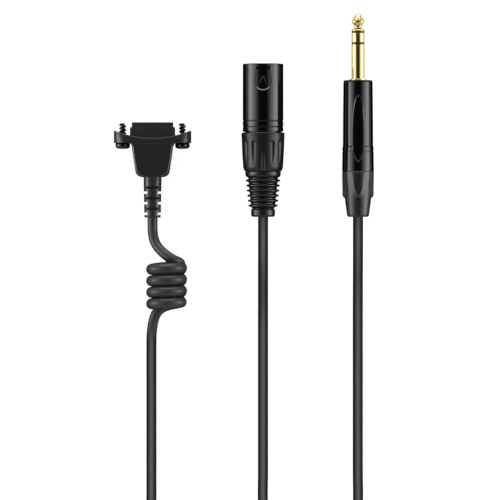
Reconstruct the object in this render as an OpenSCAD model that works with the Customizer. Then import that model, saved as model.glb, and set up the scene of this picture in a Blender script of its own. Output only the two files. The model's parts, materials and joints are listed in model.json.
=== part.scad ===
// Headset lead with three ends: a two-screw headset plug with a short curly coil behind it,
// a three-pin XLR cable plug and a 6.35 mm three-pole jack plug, joined at a Y splitter.
// The plugs lie flat, side by side, with their cable ends on one line and their tips towards +Y.
// The origin is under the middle of the three plugs, on the surface that they lie on.

/* [Layout] */
// Middle of the headset plug, across
headset_x = -42.8; // [-48:0.1:-40]
// Middle of the XLR plug, across
xlr_x = 9; // [0:0.5:14]
// Middle of the jack plug, across
jack_x = 53.5; // [50:0.5:60]

/* [Cable] */
// Diameter of all the leads
lead_d = 4.63; // [4.5:0.01:4.7]
// Outer diameter of the short curly coil
curly_d = 19.1; // [18:0.1:20]
// Length of the curly coil along its axis
curly_len = 21.7; // [20:0.1:24]
// Middle diameter of the storage coil
storage_d = 55.3; // [50:0.1:58]
// Columns and rows of turns in the storage coil
storage_rows = 3; // [2:1:3]

/* [Headset plug] */
// Width of the flange over both ears
flange_w = 36.3; // [36:0.1:38]
// Thickness of the flange
flange_t = 11; // [10.5:0.1:11.5]
// Distance between the two screws
screw_gap = 28; // [28:0.1:28.4]
// Outer radius of the screw thread
screw_r = 1.7; // [1.6:0.05:1.75]
// Radius of the screw heads
screw_head_r = 3.35; // [3.2:0.05:3.5]
// Radius of the neck of the strain relief
relief_r = 4.1; // [4:0.05:4.2]

/* [XLR plug] */
// Outer radius of the metal shell
xlr_shell_r = 9.5; // [9.4:0.05:9.55]
// Radius of the socket inside the shell
xlr_mouth_r = 8.1; // [8:0.05:8.2]
// Length of the plug from the cable end to the rim
xlr_len = 71.6; // [71:0.1:72]
// Radius of one pin
xlr_pin_r = 1.19; // [1.15:0.01:1.2]
// Largest radius of the grip collar
collar_r = 10.1; // [10:0.05:10.2]

/* [Jack plug] */
// Radius of the finger, 6.35 mm across
finger_r = 3.175; // [3.15:0.005:3.175]
// Length of the finger from its flange to its tip
finger_len = 31; // [30.5:0.1:31.5]
// Length of the plug from the cable end to the finger's flange
jack_body_len = 64.5; // [64.5:0.1:65]
// Radius of the handle where it meets the gland nut
jack_r = 7.45; // [7.4:0.05:7.6]

/* [Hidden] */
$fn = 64;
eps = 0.01;

lead_r = lead_d / 2;
exit_y = -(jack_body_len + finger_len) / 2;
headset_z = flange_t / 2;
xlr_z = collar_r;
jack_z = jack_r;
lead_z = lead_r + 0.03;
lead_bore_r = lead_r + 0.02;
slide_bore_r = lead_r + 0.3;

// Headset plug, heights along its axis from the cable end
relief_len = 18.6;
relief_neck_r = 2.85;
flange_low = 34.6;
flange_high = 40.4;
flange_dip = 3.5;
block_seat = 36.2;
block_step = 42;
block_top = 44.3;
ring_z = 37.4;
ring_t = 0.6;
screw_seat = 35.8;
screw_thread = 40;
screw_end = 43.9;
shank_r = 1.45;
screw_neck_r = 1.15;
head_low = 31.9;
crimp_low = 24.1;
crimp_len = 2.1;
contact_low = 29.4;
contact_cols = 4;
contact_pitch = 4.2;
contact_row = 1.6;

// XLR plug
shell_low = 39.8;
insert_low = 46.1;
insert_face = 56.6;
pin_tip = 68.8;
pin_spots = [[-3.8, -1.3], [3.8, -1.3], [0, 4]];
thread_r = 8.5;
collar_low = 21.3;
flute_n = 6;
flute_first = 26;
flute_step = 25.6;
rib_n = 6;
rib_low = 5.6;
rib_pitch = 2.32;

// Jack plug
finger_low = jack_body_len;
jack_end = jack_body_len + finger_len;
tip_len = 8.3;
gap_len = 1.15;
pole_len = 4.2;
seam_z = 21.15;
nut_thread_r = 6;
strip_r = 4.3;
dish_depth = 0.94;
dish_half = 15.9;
dish_z = 41.4;

// Storage coil and splitter, measured from the line of the cable ends
storage_x = -11.2;
storage_y = -212;
storage_w = storage_rows * (lead_d + 0.02);
storage_low = 1.3;
tie_t = 1.2;
tie_angle = 32;
tie_from = 209;
split_x = 28;
split_low = -188;
split_high = -166;
split_z = 4.7;
split_gap = 2.6;
curly_x = -36.3;
curly_y = -21.8;
curly_z = curly_d / 2 + 0.05;

// Routes of the leads: x, y from the line of the cable ends, and height
headset_route = [
    [headset_x, 24, headset_z], [headset_x, 10, headset_z], [headset_x, -1, headset_z],
    [-42.8, -6, 5.5], [-42.5, -8.9, 5.7], [-42, -10.8, 6.1], [-41.2, -12.7, 6.7],
    [-39.9, -14.6, 7.4], [-38.1, -16.5, 8.1], [-35.8, -18.3, 8.8], [-33.2, -20.2, 9.3],
    [-31, -22, 9.5]
];
main_route = [
    [-39.5, -43, 2.7], [-41.9, -46.5, 2.4], [-42.9, -50.3, lead_z], [-43.3, -54, lead_z],
    [-43.4, -62, lead_z], [-43.4, -90, lead_z], [-43.4, -120, lead_z], [-43.4, -150, lead_z],
    [-43.4, -180, 2.5], [-43.4, -195, 3.4], [-43.4, -206, 3.6]
];
tail_route = [
    [21, -209, 12], [21.3, -204, 11], [23, -199, 8.6], [26.2, -194.5, 5.8],
    [split_x, -190, split_z], [split_x, split_low, split_z]
];
xlr_route = [
    [xlr_x, 30, xlr_z], [xlr_x, 8, xlr_z], [xlr_x, -12, xlr_z], [9, -20, 9.5], [9, -28, 7.7],
    [9, -36, 5.4], [9, -44, 3.5], [9, -52, 2.6], [9, -60, lead_z], [9, -90, lead_z],
    [9, -120, lead_z], [9, -135, lead_z], [10.2, -142, lead_z], [14, -149, 2.5],
    [20, -155, 3.2], [24.2, -160, 4.3], [split_x - split_gap, -164, split_z],
    [split_x - split_gap, split_high, split_z]
];
jack_route = [
    [jack_x, 26, jack_z], [jack_x, 8, jack_z], [jack_x, -8, jack_z], [53.5, -16, 7],
    [53.5, -24, 5.7], [53.5, -32, 4.1], [53.5, -40, 2.9], [53.5, -48, 2.4],
    [53.5, -56, lead_z], [53.5, -90, lead_z], [53.5, -120, lead_z], [53.5, -135, lead_z],
    [52, -142, lead_z], [47, -148.5, 2.5], [39.5, -154, 3.2], [33, -159.5, 4.3],
    [split_x + split_gap, -164, split_z], [split_x + split_gap, split_high, split_z]
];

// Stands children on a plug's axis: their own +Z runs along +Y and their -Y side faces up.
module on_axis(x, z) {
    translate([x, exit_y, z]) rotate([-90, 0, 0]) children();
}

// A turned solid; its outline lists height and radius, and closes on the axis or on a bore.
module turned(outline) {
    rotate_extrude($fn = 96) polygon([for (p = outline) [p[1], p[0]]]);
}

// A tube between two heights.
module tube(low, high, outer, inner) {
    difference() {
        translate([0, 0, low]) cylinder(r = outer, h = high - low);
        translate([0, 0, low - 1]) cylinder(r = inner, h = high - low + 2);
    }
}

// A round rod between two points.
module rod(a, b, r) {
    d = b - a;
    translate(a)
        rotate([0, acos(d[2] / norm(d)), atan2(d[1], d[0])])
            cylinder(r = r, h = norm(d), $fn = 24);
}

// A rectangle with rounded corners, centred.
module round_rect(w, t, r) {
    union() {
        square([w - 2 * r, t], center = true);
        square([w, t - 2 * r], center = true);
        for (x = [-1, 1], y = [-1, 1])
            translate([x * (w / 2 - r), y * (t / 2 - r)]) circle(r = r, $fn = 32);
    }
}

// A thin slice of a rounded block, as [height, width, thickness, corner radius].
module slice(s) {
    translate([0, 0, s[0]]) linear_extrude(eps) round_rect(s[1], s[2], s[3]);
}

function unit(v) = v / norm(v);
function tangent(path, i) =
    unit(path[min(i + 1, len(path) - 1)] - path[max(i - 1, 0)]);
function ring(path, i, r, sides) =
    let (t = tangent(path, i), s = unit(cross(t, [0, 0, 1])), u = cross(s, t))
    [for (k = [0:sides - 1]) path[i] + r * (cos(360 * k / sides) * s + sin(360 * k / sides) * u)];

// A lead swept along its route.
module lead(route) {
    sides = 12;
    n = len(route);
    points = [for (i = [0:n - 1]) each ring(route, i, lead_r, sides)];
    walls = [for (i = [0:n - 2], k = [0:sides - 1])
        let (a = i * sides + k, b = i * sides + (k + 1) % sides)
        each [[a, b, b + sides], [a, b + sides, a + sides]]];
    caps = [[for (k = [sides - 1:-1:0]) k], [for (k = [0:sides - 1]) (n - 1) * sides + k]];
    color([0.12, 0.12, 0.12]) translate([0, exit_y, 0])
        polyhedron(points = points, faces = concat(walls, caps));
}

// ---- Headset plug -------------------------------------------------------------------

module screw_places(side) {
    translate([side * screw_gap / 2, 0, 0]) children();
}

module flange() {
    dish_r = (pow(flange_w / 2, 2) + pow(flange_dip, 2)) / (2 * flange_dip);
    difference() {
        translate([0, 0, flange_low]) linear_extrude(flange_high - flange_low)
            round_rect(flange_w, flange_t, flange_t / 2 - eps);
        translate([0, 0, flange_high - flange_dip + dish_r]) rotate([90, 0, 0])
            cylinder(r = dish_r, h = 2 * flange_t, center = true, $fn = 200);
    }
}

module headset_housing() {
    color([0.14, 0.14, 0.14]) on_axis(headset_x, headset_z) difference() {
        union() {
            flange();
            hull() for (s = [
                [relief_len, 8.2, 8.2, 4], [19.3, 11.4, 8.6, 4], [20.2, 13.6, 8.9, 3.6],
                [21.5, 15.5, 9.1, 3], [23.2, 16.2, 9.2, 2.8], [30.7, 18.4, 9.8, 2.8],
                [flange_low, 18.9, 10, 2.8]
            ]) slice(s);
        }
        hull() {
            slice([22, 12.4, 6.2, 1.5]);
            slice([block_seat + eps, 16.3, 7.4, 1.5]);
        }
        translate([0, 0, block_seat]) linear_extrude(10) round_rect(21.4, 8.9, 1.2);
        translate([0, 0, relief_len - 1]) cylinder(r = relief_neck_r + 0.05, h = 5);
        for (side = [-1, 1]) screw_places(side) {
            translate([0, 0, flange_low - 1]) cylinder(r = screw_r + 0.25, h = 10);
            translate([0, 0, screw_seat]) cylinder(r = 2.6, h = 10);
        }
    }
}

module headset_contact_block() {
    color([0.08, 0.08, 0.08]) on_axis(headset_x, headset_z) difference() {
        union() {
            translate([0, 0, block_seat + 0.02]) linear_extrude(block_step - block_seat)
                round_rect(21.1, 8.6, 1);
            translate([0, 0, block_step]) linear_extrude(block_top - block_step)
                round_rect(19.4, 7, 0.8);
            translate([0, 0, 31]) linear_extrude(block_seat - 30) round_rect(14.6, 6, 1);
        }
        contact_places() cylinder(r = 0.9, h = 60);
    }
}

// Two rows of contacts across the block.
module contact_places() {
    for (i = [0:contact_cols - 1], row = [-1, 1])
        translate([(i - (contact_cols - 1) / 2) * contact_pitch, row * contact_row, 0])
            children();
}

module headset_contacts() {
    color([0.85, 0.7, 0.35]) on_axis(headset_x, headset_z) contact_places() {
        tube(36, block_top - 0.3, 0.89, 0.5);
        translate([0, 0, contact_low]) cylinder(r = 0.55, h = 36.1 - contact_low, $fn = 24);
    }
}

// A captive screw: domed head, shank, neck for the retaining ring, and the wider threaded end.
module headset_screw(side) {
    color([0.08, 0.08, 0.08]) on_axis(headset_x, headset_z) screw_places(side) difference() {
        turned([
            [head_low, 0], [head_low, 2], [head_low + 0.35, 2.9], [head_low + 0.95, screw_head_r],
            [flange_low - 0.02, screw_head_r], [flange_low - 0.02, shank_r],
            [ring_z - 0.05, shank_r], [ring_z - 0.05, screw_neck_r],
            [ring_z + ring_t + 0.05, screw_neck_r], [ring_z + ring_t + 0.05, shank_r],
            [screw_thread, shank_r], [screw_thread, screw_r], [screw_end - 0.4, screw_r],
            [screw_end, screw_r - 0.4], [screw_end, 0]
        ]);
        translate([-4, -0.4, head_low - 1]) cube([8, 0.8, 1.7]);
    }
}

module headset_screw_left() { headset_screw(-1); }

module headset_screw_right() { headset_screw(1); }

// The ring that keeps a screw in its ear.
module headset_ring(side) {
    color([0.7, 0.7, 0.72]) on_axis(headset_x, headset_z) screw_places(side)
        tube(ring_z, ring_z + ring_t, 2.3, screw_neck_r + 0.05);
}

module headset_ring_left() { headset_ring(-1); }

module headset_ring_right() { headset_ring(1); }

module headset_strain_relief() {
    slot_w = 1.2;
    slot_pitch = 4.75;
    web = 2.1;
    color([0.1, 0.1, 0.1]) on_axis(headset_x, headset_z) difference() {
        union() {
            turned([
                [0, 0], [0, 3.5], [0.4, 3.78], [13.8, relief_r], [relief_len - 0.02, relief_r],
                [relief_len - 0.02, relief_neck_r], [22.2, relief_neck_r], [22.2, 0]
            ]);
            translate([0, 0, 22.05]) linear_extrude(1.6) round_rect(10, 5.6, 1.5);
        }
        translate([0, 0, -1]) cylinder(r = lead_bore_r, h = 30);
        for (i = [0:2], side = [0, 180]) rotate([0, 0, side]) {
            translate([web, -10, 1.25 + slot_pitch * i]) cube([10, 20, slot_w]);
            translate([-10, web, 3.5 + slot_pitch * i]) cube([20, 10, slot_w]);
        }
    }
}

module headset_crimp() {
    color([0.75, 0.75, 0.77]) on_axis(headset_x, headset_z)
        tube(crimp_low, crimp_low + crimp_len, 2.95, lead_bore_r);
}

// The cores fan out from the end of the jacket to the contacts.
module headset_wires() {
    fan_low = crimp_low + crimp_len + 0.4;
    fan_high = contact_low - 0.42;
    color([0.7, 0.2, 0.15]) on_axis(headset_x, headset_z) union() {
        for (i = [0:contact_cols - 1], row = [-1, 1])
            rod([(i - (contact_cols - 1) / 2) * 0.95, row * 0.75, fan_low],
                [(i - (contact_cols - 1) / 2) * contact_pitch, row * contact_row, fan_high], 0.42);
        translate([0, 0, crimp_low + 0.1]) cylinder(r = 2, h = crimp_len + 0.6);
    }
}

// ---- XLR plug -----------------------------------------------------------------------

// Outline of the latch recess, seen from above.
module latch_outline() {
    union() {
        translate([-3.95, 61.2]) square([7.9, 8.9]);
        translate([-1.9, 59]) square([3.8, 3]);
        for (x = [-1, 1]) translate([x * 1.75, 61.2]) circle(r = 2.2, $fn = 48);
    }
}

// An arrow stroke pair that shows the latch side.
module latch_mark() {
    for (side = [-1, 1])
        polygon([[0, 65.9], [side * 1.6, 62.9], [side * 1.05, 62.6], [0, 64.8]]);
}

module xlr_shell() {
    pocket_r = 8.85;
    color([0.07, 0.07, 0.07]) on_axis(xlr_x, xlr_z) difference() {
        turned([
            [25.5, 7.3], [25.5, thread_r - 0.3], [25.8, thread_r], [shell_low, thread_r],
            [shell_low, 9.2], [shell_low + 0.3, xlr_shell_r], [xlr_len - 0.4, xlr_shell_r],
            [xlr_len, xlr_shell_r - 0.4], [xlr_len, xlr_mouth_r + 0.3],
            [xlr_len - 0.3, xlr_mouth_r], [46, xlr_mouth_r], [46, 7.3]
        ]);
        for (z = [42, 44.5])
            tube(z - 0.25, z + 0.25, xlr_shell_r + 1, xlr_shell_r - 0.25);
        difference() {
            translate([0, -pocket_r, 0]) rotate([90, 0, 0]) linear_extrude(3) latch_outline();
            translate([0, -pocket_r + 0.3, 0]) rotate([90, 0, 0]) linear_extrude(0.55)
                latch_mark();
        }
        translate([-3.95, -11, 68.9]) cube([7.9, 5, 1.2]);
    }
}

module pin_places() {
    for (p = pin_spots) translate([p[0], p[1], 0]) children();
}

module xlr_insert() {
    color([0.1, 0.1, 0.1]) on_axis(xlr_x, xlr_z) difference() {
        translate([0, 0, insert_low]) cylinder(r = xlr_mouth_r - 0.03, h = insert_face - insert_low);
        pin_places() translate([0, 0, insert_low - 1]) cylinder(r = xlr_pin_r + 0.01, h = 20);
        translate([-1.6, 7.2, insert_low - 1]) cube([3.2, 3, 8]);
        translate([-0.6, -8.6, insert_face - 1.2]) cube([1.2, 3, 2]);
    }
}

module xlr_pins() {
    color([0.8, 0.8, 0.82]) on_axis(xlr_x, xlr_z) pin_places() difference() {
        turned([
            [41.4, 0], [41.4, 1.5], [insert_low - 0.05, 1.5], [insert_low - 0.05, xlr_pin_r],
            [pin_tip - 1, xlr_pin_r], [pin_tip - 0.35, 0.85], [pin_tip, 0.35], [pin_tip, 0]
        ]);
        translate([0, 0, 40]) cylinder(r = 0.95, h = 4.2);
    }
}

module xlr_ground_spring() {
    color([0.8, 0.75, 0.5]) on_axis(xlr_x, xlr_z)
        translate([-1.3, 7.3, insert_low]) cube([2.6, 0.4, 6.6]);
}

module xlr_chuck() {
    color([0.85, 0.85, 0.82]) on_axis(xlr_x, xlr_z) difference() {
        turned([
            [24.6, lead_bore_r], [24.6, 4.4], [27.5, 5.4], [31, 7.1], [38.5, 7.1],
            [38.5, 5.8], [31.5, 5.8], [30, lead_bore_r]
        ]);
        for (a = [0, 90]) rotate([0, 0, a]) translate([-0.5, -9, 23]) cube([1, 18, 9]);
    }
}

// The grip collar: a threaded nut with finger flutes and a sighting groove at front and back.
module xlr_collar() {
    flute_r = 2.2;
    flute_at = 9.2 + flute_r;
    color([0.16, 0.16, 0.16]) on_axis(xlr_x, xlr_z) difference() {
        turned([
            [collar_low, 7.3], [collar_low, 8.35], [22, 8.65], [24, 9.2], [26.8, 9.42],
            [30.55, 9.7], [36.2, 9.9], [39.1, collar_r], [39.45, 9.9], [39.45, thread_r + 0.05],
            [24.6, thread_r + 0.05], [24.6, 8], [22.4, 8], [22.4, 7.3]
        ]);
        for (side = [0, 180], k = [0:flute_n - 1])
            rotate([0, 0, side + flute_first + flute_step * k]) translate([0, flute_at, 22])
                union() {
                    cylinder(r = flute_r, h = 12.2);
                    translate([0, 0, 12.2]) sphere(r = flute_r);
                }
        for (a = [0, 180]) rotate([0, 0, a]) translate([0, 9.55, 30.5]) rotate([-184, 0, 0])
            rotate([0, 0, 45]) translate([-0.5, -0.5, 0]) cube([1, 1, 12]);
    }
}

// Ribbed boot; its flange is held in the collar.
module xlr_boot() {
    ribs = [for (i = [0:rib_n - 1])
        let (z = rib_low + rib_pitch * i, r = 6.8 + 0.24 * i, valley = 5.45 + 0.19 * i)
        each [[z - 0.85, valley], [z - 0.15, r], [z + 0.15, r], [z + 0.85, valley + 0.1]]];
    color([0.1, 0.1, 0.1]) on_axis(xlr_x, xlr_z) turned(concat(
        [[0, slide_bore_r], [0, 4.8], [0.6, 5.57], [3.4, 5.57], [4.1, 5.15]],
        ribs,
        [[18.5, 6.8], [18.8, 8.05], [21.25, 8.35], [21.25, 7.25], [22.45, 7.25], [22.45, 7.9],
            [24.5, 7.9], [24.5, 6.2], [9.5, 4.2], [9.5, slide_bore_r]]
    ));
}

module xlr_wires() {
    color([0.65, 0.2, 0.15]) on_axis(xlr_x, xlr_z) {
        for (p = pin_spots) rod([p[0] * 0.3, p[1] * 0.3, 31], [p[0], p[1], 41.3], 0.6);
    }
}

// ---- Jack plug ----------------------------------------------------------------------

// One insulated pole of the finger: a ring at the surface on a tube that runs back.
module pole(low, high, outer, back, tube_r, bore_r) {
    turned([
        [back, bore_r], [back, tube_r], [low, tube_r], [low, outer], [high, outer],
        [high, bore_r]
    ]);
}

module jack_tip() {
    t = jack_end;
    color([0.85, 0.68, 0.3]) on_axis(jack_x, jack_z) turned([
        [58, 0], [58, 0.9], [t - tip_len, 0.9], [t - tip_len, 3.1], [t - tip_len + 0.25, 3.14],
        [t - 6.8, 1.78], [t - 6.1, 1.78], [t - 4.5, 3.05], [t - 4.1, 3.12], [t - 3.6, 3.05],
        [t - 1.5, 1.85], [t - 0.6, 1.3], [t - 0.15, 0.75], [t, 0.3], [t, 0]
    ]);
}

module jack_tip_insulator() {
    high = jack_end - tip_len - 0.01;
    color([0.06, 0.05, 0.04]) on_axis(jack_x, jack_z)
        pole(high - gap_len, high, 3.08, 59, 1.3, 0.92);
}

module jack_ring() {
    high = jack_end - tip_len - gap_len - 0.02;
    color([0.85, 0.68, 0.3]) on_axis(jack_x, jack_z)
        pole(high - pole_len, high, 3.14, 60, 1.75, 1.32);
}

module jack_ring_insulator() {
    high = jack_end - tip_len - gap_len - pole_len - 0.03;
    color([0.06, 0.05, 0.04]) on_axis(jack_x, jack_z)
        pole(high - gap_len, high, 3.08, 61, 2.2, 1.77);
}

module jack_sleeve() {
    high = jack_end - tip_len - 2 * gap_len - pole_len - 0.04;
    color([0.85, 0.68, 0.3]) on_axis(jack_x, jack_z) union() {
        turned([
            [57.6, 2.22], [57.6, 5.3], [62.3, 5.3], [62.3, 3.8], [64.05, 3.8], [64.05, 4.2],
            [finger_low - 0.1, 4.2], [finger_low, 4.1], [finger_low, finger_r], [high, finger_r],
            [high, 2.22]
        ]);
        intersection() {
            tube(33, 57.7, strip_r + 0.6, strip_r);
            translate([-3, 0, 32]) cube([6, 6, 27]);
        }
        difference() {
            tube(33, 38, strip_r + 0.6, strip_r);
            translate([-5, -9, 32]) cube([10, 6.5, 8]);
        }
    }
}

module jack_lug_holder() {
    color([0.9, 0.9, 0.86]) on_axis(jack_x, jack_z) tube(55.4, 57.5, strip_r - 0.05, 1.4);
}

module jack_lugs() {
    color([0.8, 0.75, 0.55]) on_axis(jack_x, jack_z) union() {
        difference() {
            translate([-1.1, -0.35, 49]) cube([2.2, 0.7, 6.2]);
            translate([0, 0, 50.4]) rotate([90, 0, 0]) cylinder(r = 0.5, h = 3, center = true);
        }
        translate([0, 0, 55.1]) cylinder(r = 1.1, h = 2.8);
    }
}

// The metal handle, with a long dished recess at front and back.
module jack_handle() {
    dish_r = (pow(dish_half, 2) + pow(dish_depth, 2)) / (2 * dish_depth);
    color([0.07, 0.07, 0.07]) on_axis(jack_x, jack_z) difference() {
        turned([
            [seam_z + 0.05, nut_thread_r + 0.05], [seam_z + 0.05, jack_r - 0.15],
            [seam_z + 0.25, jack_r], [26.8, 7.31], [32.6, 7.24], [33.4, 7.04], [51.2, 6.93],
            [63.2, 6.8], [64, 6.4], [64, 3.85], [62.4, 3.85], [62.4, 5.4], [28, 5.4],
            [28, nut_thread_r + 0.05]
        ]);
        for (side = [-1, 1])
            translate([0, side * (7.0 - dish_depth + dish_r), dish_z]) rotate([0, 90, 0])
                cylinder(r = dish_r, h = 20, center = true, $fn = 200);
    }
}

module jack_chuck() {
    color([0.85, 0.85, 0.82]) on_axis(jack_x, jack_z) difference() {
        turned([
            [8, lead_bore_r + 0.05], [8, 3.6], [11, 4.7], [21, 4.7], [24, 3.9],
            [24, lead_bore_r + 0.05]
        ]);
        for (a = [45, 135]) rotate([0, 0, a]) translate([-0.4, -6, 12]) cube([0.8, 12, 14]);
    }
}

// Half the width of a petal of the gland nut, in degrees, at a height along the nut.
function petal_half(z) = 45 * pow(max(0, (z - 10.2) / 9.8), 0.6);

// The gland nut: a cone under four petals that leave arched gaps between them.
module jack_gland_nut() {
    steps = 8;
    petal = [for (i = [0:steps]) 10.2 + 9.8 * pow(i / steps, 1.6)];
    outline = concat(
        [for (z = petal) [7 * tan(petal_half(z)), z]],
        [[9, 21.2], [-9, 21.2]],
        [for (i = [steps:-1:1]) [-7 * tan(petal_half(petal[i])), petal[i]]]
    );
    color([0.12, 0.12, 0.12]) on_axis(jack_x, jack_z) difference() {
        union() {
            turned([
                [0, 0], [0, 4.4], [0.3, 4.9], [1, 5.12], [4.2, 5.5], [9.9, 6.25], [19.8, 7.35],
                [seam_z, 7.3], [seam_z, nut_thread_r], [27.2, nut_thread_r], [27.2, 0]
            ]);
            intersection() {
                turned([[10, 0], [10, 7.26], [seam_z - 0.3, jack_r], [seam_z, jack_r - 0.15],
                    [seam_z, 0]]);
                for (a = [0, 90, 180, 270]) rotate([0, 0, a]) rotate([90, 0, 0])
                    linear_extrude(9) polygon(outline);
            }
        }
        turned([
            [-1, 0], [-1, slide_bore_r], [6.5, slide_bore_r], [7.9, 3.7], [10.9, 4.8], [28, 4.8],
            [28, 0]
        ]);
    }
}

module jack_wires() {
    color([0.65, 0.2, 0.15]) on_axis(jack_x, jack_z) union() {
        translate([0, 0, 26.2]) cylinder(r = 2, h = 8);
        for (x = [-0.9, 0.9]) rod([x, 0, 34], [x, -1.05, 50], 0.6);
    }
}

// ---- Leads, coils, splitter and tie --------------------------------------------------

module headset_lead() { lead(headset_route); }

module main_lead() { lead(main_route); }

module coil_tail() { lead(tail_route); }

module xlr_lead() { lead(xlr_route); }

module jack_lead() { lead(jack_route); }

module curly_coil() {
    color([0.15, 0.15, 0.15]) translate([curly_x, exit_y + curly_y, curly_z]) rotate([90, 0, 0])
        tube(0, curly_len, curly_d / 2, curly_d / 2 - lead_d - 0.6);
}

// Section through the storage coil, at its middle radius.
module storage_section(grow) {
    w = storage_w + 2 * grow;
    translate([storage_d / 2, storage_low + storage_w / 2]) round_rect(w, w, lead_r);
}

module storage_coil() {
    color([0.15, 0.15, 0.15]) translate([storage_x, exit_y + storage_y, 0])
        rotate_extrude($fn = 128) storage_section(0);
}

module cable_tie() {
    color([0.05, 0.05, 0.05]) translate([storage_x, exit_y + storage_y, 0])
        rotate([0, 0, tie_from]) rotate_extrude(angle = tie_angle, $fn = 128) difference() {
            storage_section(tie_t);
            storage_section(0.05);
        }
}

module y_splitter() {
    r = split_z - 0.1;
    color([0.1, 0.1, 0.1]) translate([split_x, exit_y + split_high, split_z])
        rotate([90, 0, 0]) hull() {
            cylinder(r = 3.6, h = split_high - split_low, $fn = 32);
            for (x = [-split_gap, split_gap]) translate([x, 0, 0]) {
                translate([0, 0, 1]) cylinder(r = r, h = 9, $fn = 32);
                cylinder(r = r - 0.6, h = 2, $fn = 32);
            }
        }
}

headset_housing();
headset_contact_block();
headset_contacts();
headset_screw_left();
headset_screw_right();
headset_ring_left();
headset_ring_right();
headset_strain_relief();
headset_crimp();
headset_wires();
xlr_shell();
xlr_insert();
xlr_pins();
xlr_ground_spring();
xlr_chuck();
xlr_collar();
xlr_boot();
xlr_wires();
jack_tip();
jack_tip_insulator();
jack_ring();
jack_ring_insulator();
jack_sleeve();
jack_lug_holder();
jack_lugs();
jack_handle();
jack_chuck();
jack_gland_nut();
jack_wires();
headset_lead();
curly_coil();
main_lead();
storage_coil();
coil_tail();
y_splitter();
xlr_lead();
jack_lead();
cable_tie();
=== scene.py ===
"""Dresses the headset lead: its plugs, leads, curly coil, splitter and tied coil.

Sizes and places are in mm, and the frame is in metres; MM turns one into the other.
"""
import json
import logging
import math
from contextlib import contextmanager
from dataclasses import dataclass, field
from enum import Enum
from typing import Any, Iterator, Mapping, Sequence

import bpy
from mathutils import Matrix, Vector


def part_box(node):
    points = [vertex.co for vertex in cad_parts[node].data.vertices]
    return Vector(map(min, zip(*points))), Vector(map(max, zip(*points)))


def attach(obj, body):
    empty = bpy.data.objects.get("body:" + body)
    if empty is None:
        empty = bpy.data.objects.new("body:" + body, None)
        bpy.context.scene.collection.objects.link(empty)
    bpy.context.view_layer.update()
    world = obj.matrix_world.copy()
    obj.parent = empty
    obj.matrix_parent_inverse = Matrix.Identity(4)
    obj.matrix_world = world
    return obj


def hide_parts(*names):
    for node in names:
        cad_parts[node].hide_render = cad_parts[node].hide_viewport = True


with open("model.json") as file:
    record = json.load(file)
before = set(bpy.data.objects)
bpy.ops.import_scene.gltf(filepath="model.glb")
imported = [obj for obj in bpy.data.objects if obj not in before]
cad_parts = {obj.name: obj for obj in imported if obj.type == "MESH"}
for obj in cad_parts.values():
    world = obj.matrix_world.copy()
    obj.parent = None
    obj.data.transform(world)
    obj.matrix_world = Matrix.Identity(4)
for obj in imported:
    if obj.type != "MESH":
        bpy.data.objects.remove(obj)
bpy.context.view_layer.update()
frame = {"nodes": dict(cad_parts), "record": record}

MM = 0.001          # Metres in a millimetre.
SLIVER = 0.01       # What keeps apart surfaces and points that would meet, in mm.
MERGE = 0.000002    # Points closer than this are one point, in metres.
LOG = logging.getLogger("headset_lead")

Number = float | int
Spot = tuple[Number, Number]
Point = tuple[Number, Number, Number]
Colour = tuple[float, float, float]


# ---- Shader maths --------------------------------------------------------------------

class Sock:
    """A shader socket that takes part in arithmetic: each operator adds a Math node."""

    def __init__(self, tree: bpy.types.NodeTree, socket: bpy.types.NodeSocket) -> None:
        """Wraps a socket.

        Args:
            tree: The node tree that the socket is in.
            socket: The output socket to work on.
        """
        self.tree = tree
        self.socket = socket

    def math(self, operation: str, *values: "Sock | Number", clamp: bool = False) -> "Sock":
        """Adds one Math node.

        Args:
            operation: The node's operation.
            values: Its inputs in order, as sockets or numbers.
            clamp: Whether the result is kept from 0 to 1.

        Returns:
            The node's result.
        """
        node = self.tree.nodes.new("ShaderNodeMath")
        node.operation = operation
        node.use_clamp = clamp
        for place, value in zip(node.inputs, values):
            if isinstance(value, Sock):
                self.tree.links.new(value.socket, place)
            else:
                place.default_value = value
        return Sock(self.tree, node.outputs[0])

    def __add__(self, other: "Sock | Number") -> "Sock":
        """Sum."""
        return self.math("ADD", self, other)

    __radd__ = __add__

    def __sub__(self, other: "Sock | Number") -> "Sock":
        """Difference."""
        return self.math("SUBTRACT", self, other)

    def __rsub__(self, other: "Sock | Number") -> "Sock":
        """Difference from a number on the left."""
        return self.math("SUBTRACT", other, self)

    def __mul__(self, other: "Sock | Number") -> "Sock":
        """Product."""
        return self.math("MULTIPLY", self, other)

    __rmul__ = __mul__

    def __truediv__(self, other: "Sock | Number") -> "Sock":
        """Quotient."""
        return self.math("DIVIDE", self, other)

    def __rtruediv__(self, other: "Sock | Number") -> "Sock":
        """Quotient of a number on the left."""
        return self.math("DIVIDE", other, self)

    def __pow__(self, other: "Sock | Number") -> "Sock":
        """Power."""
        return self.math("POWER", self, other)

    def sine(self) -> "Sock":
        """Sine of the value in radians."""
        return self.math("SINE", self)

    def fraction(self) -> "Sock":
        """What stands behind the value's decimal point."""
        return self.math("FRACT", self)

    def over(self, level: Number) -> "Sock":
        """1 where the value is over a level, and 0 elsewhere."""
        return self.math("GREATER_THAN", self, level)

    def kept(self) -> "Sock":
        """The value kept from 0 to 1."""
        return self.math("ADD", self, 0.0, clamp=True)


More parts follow.
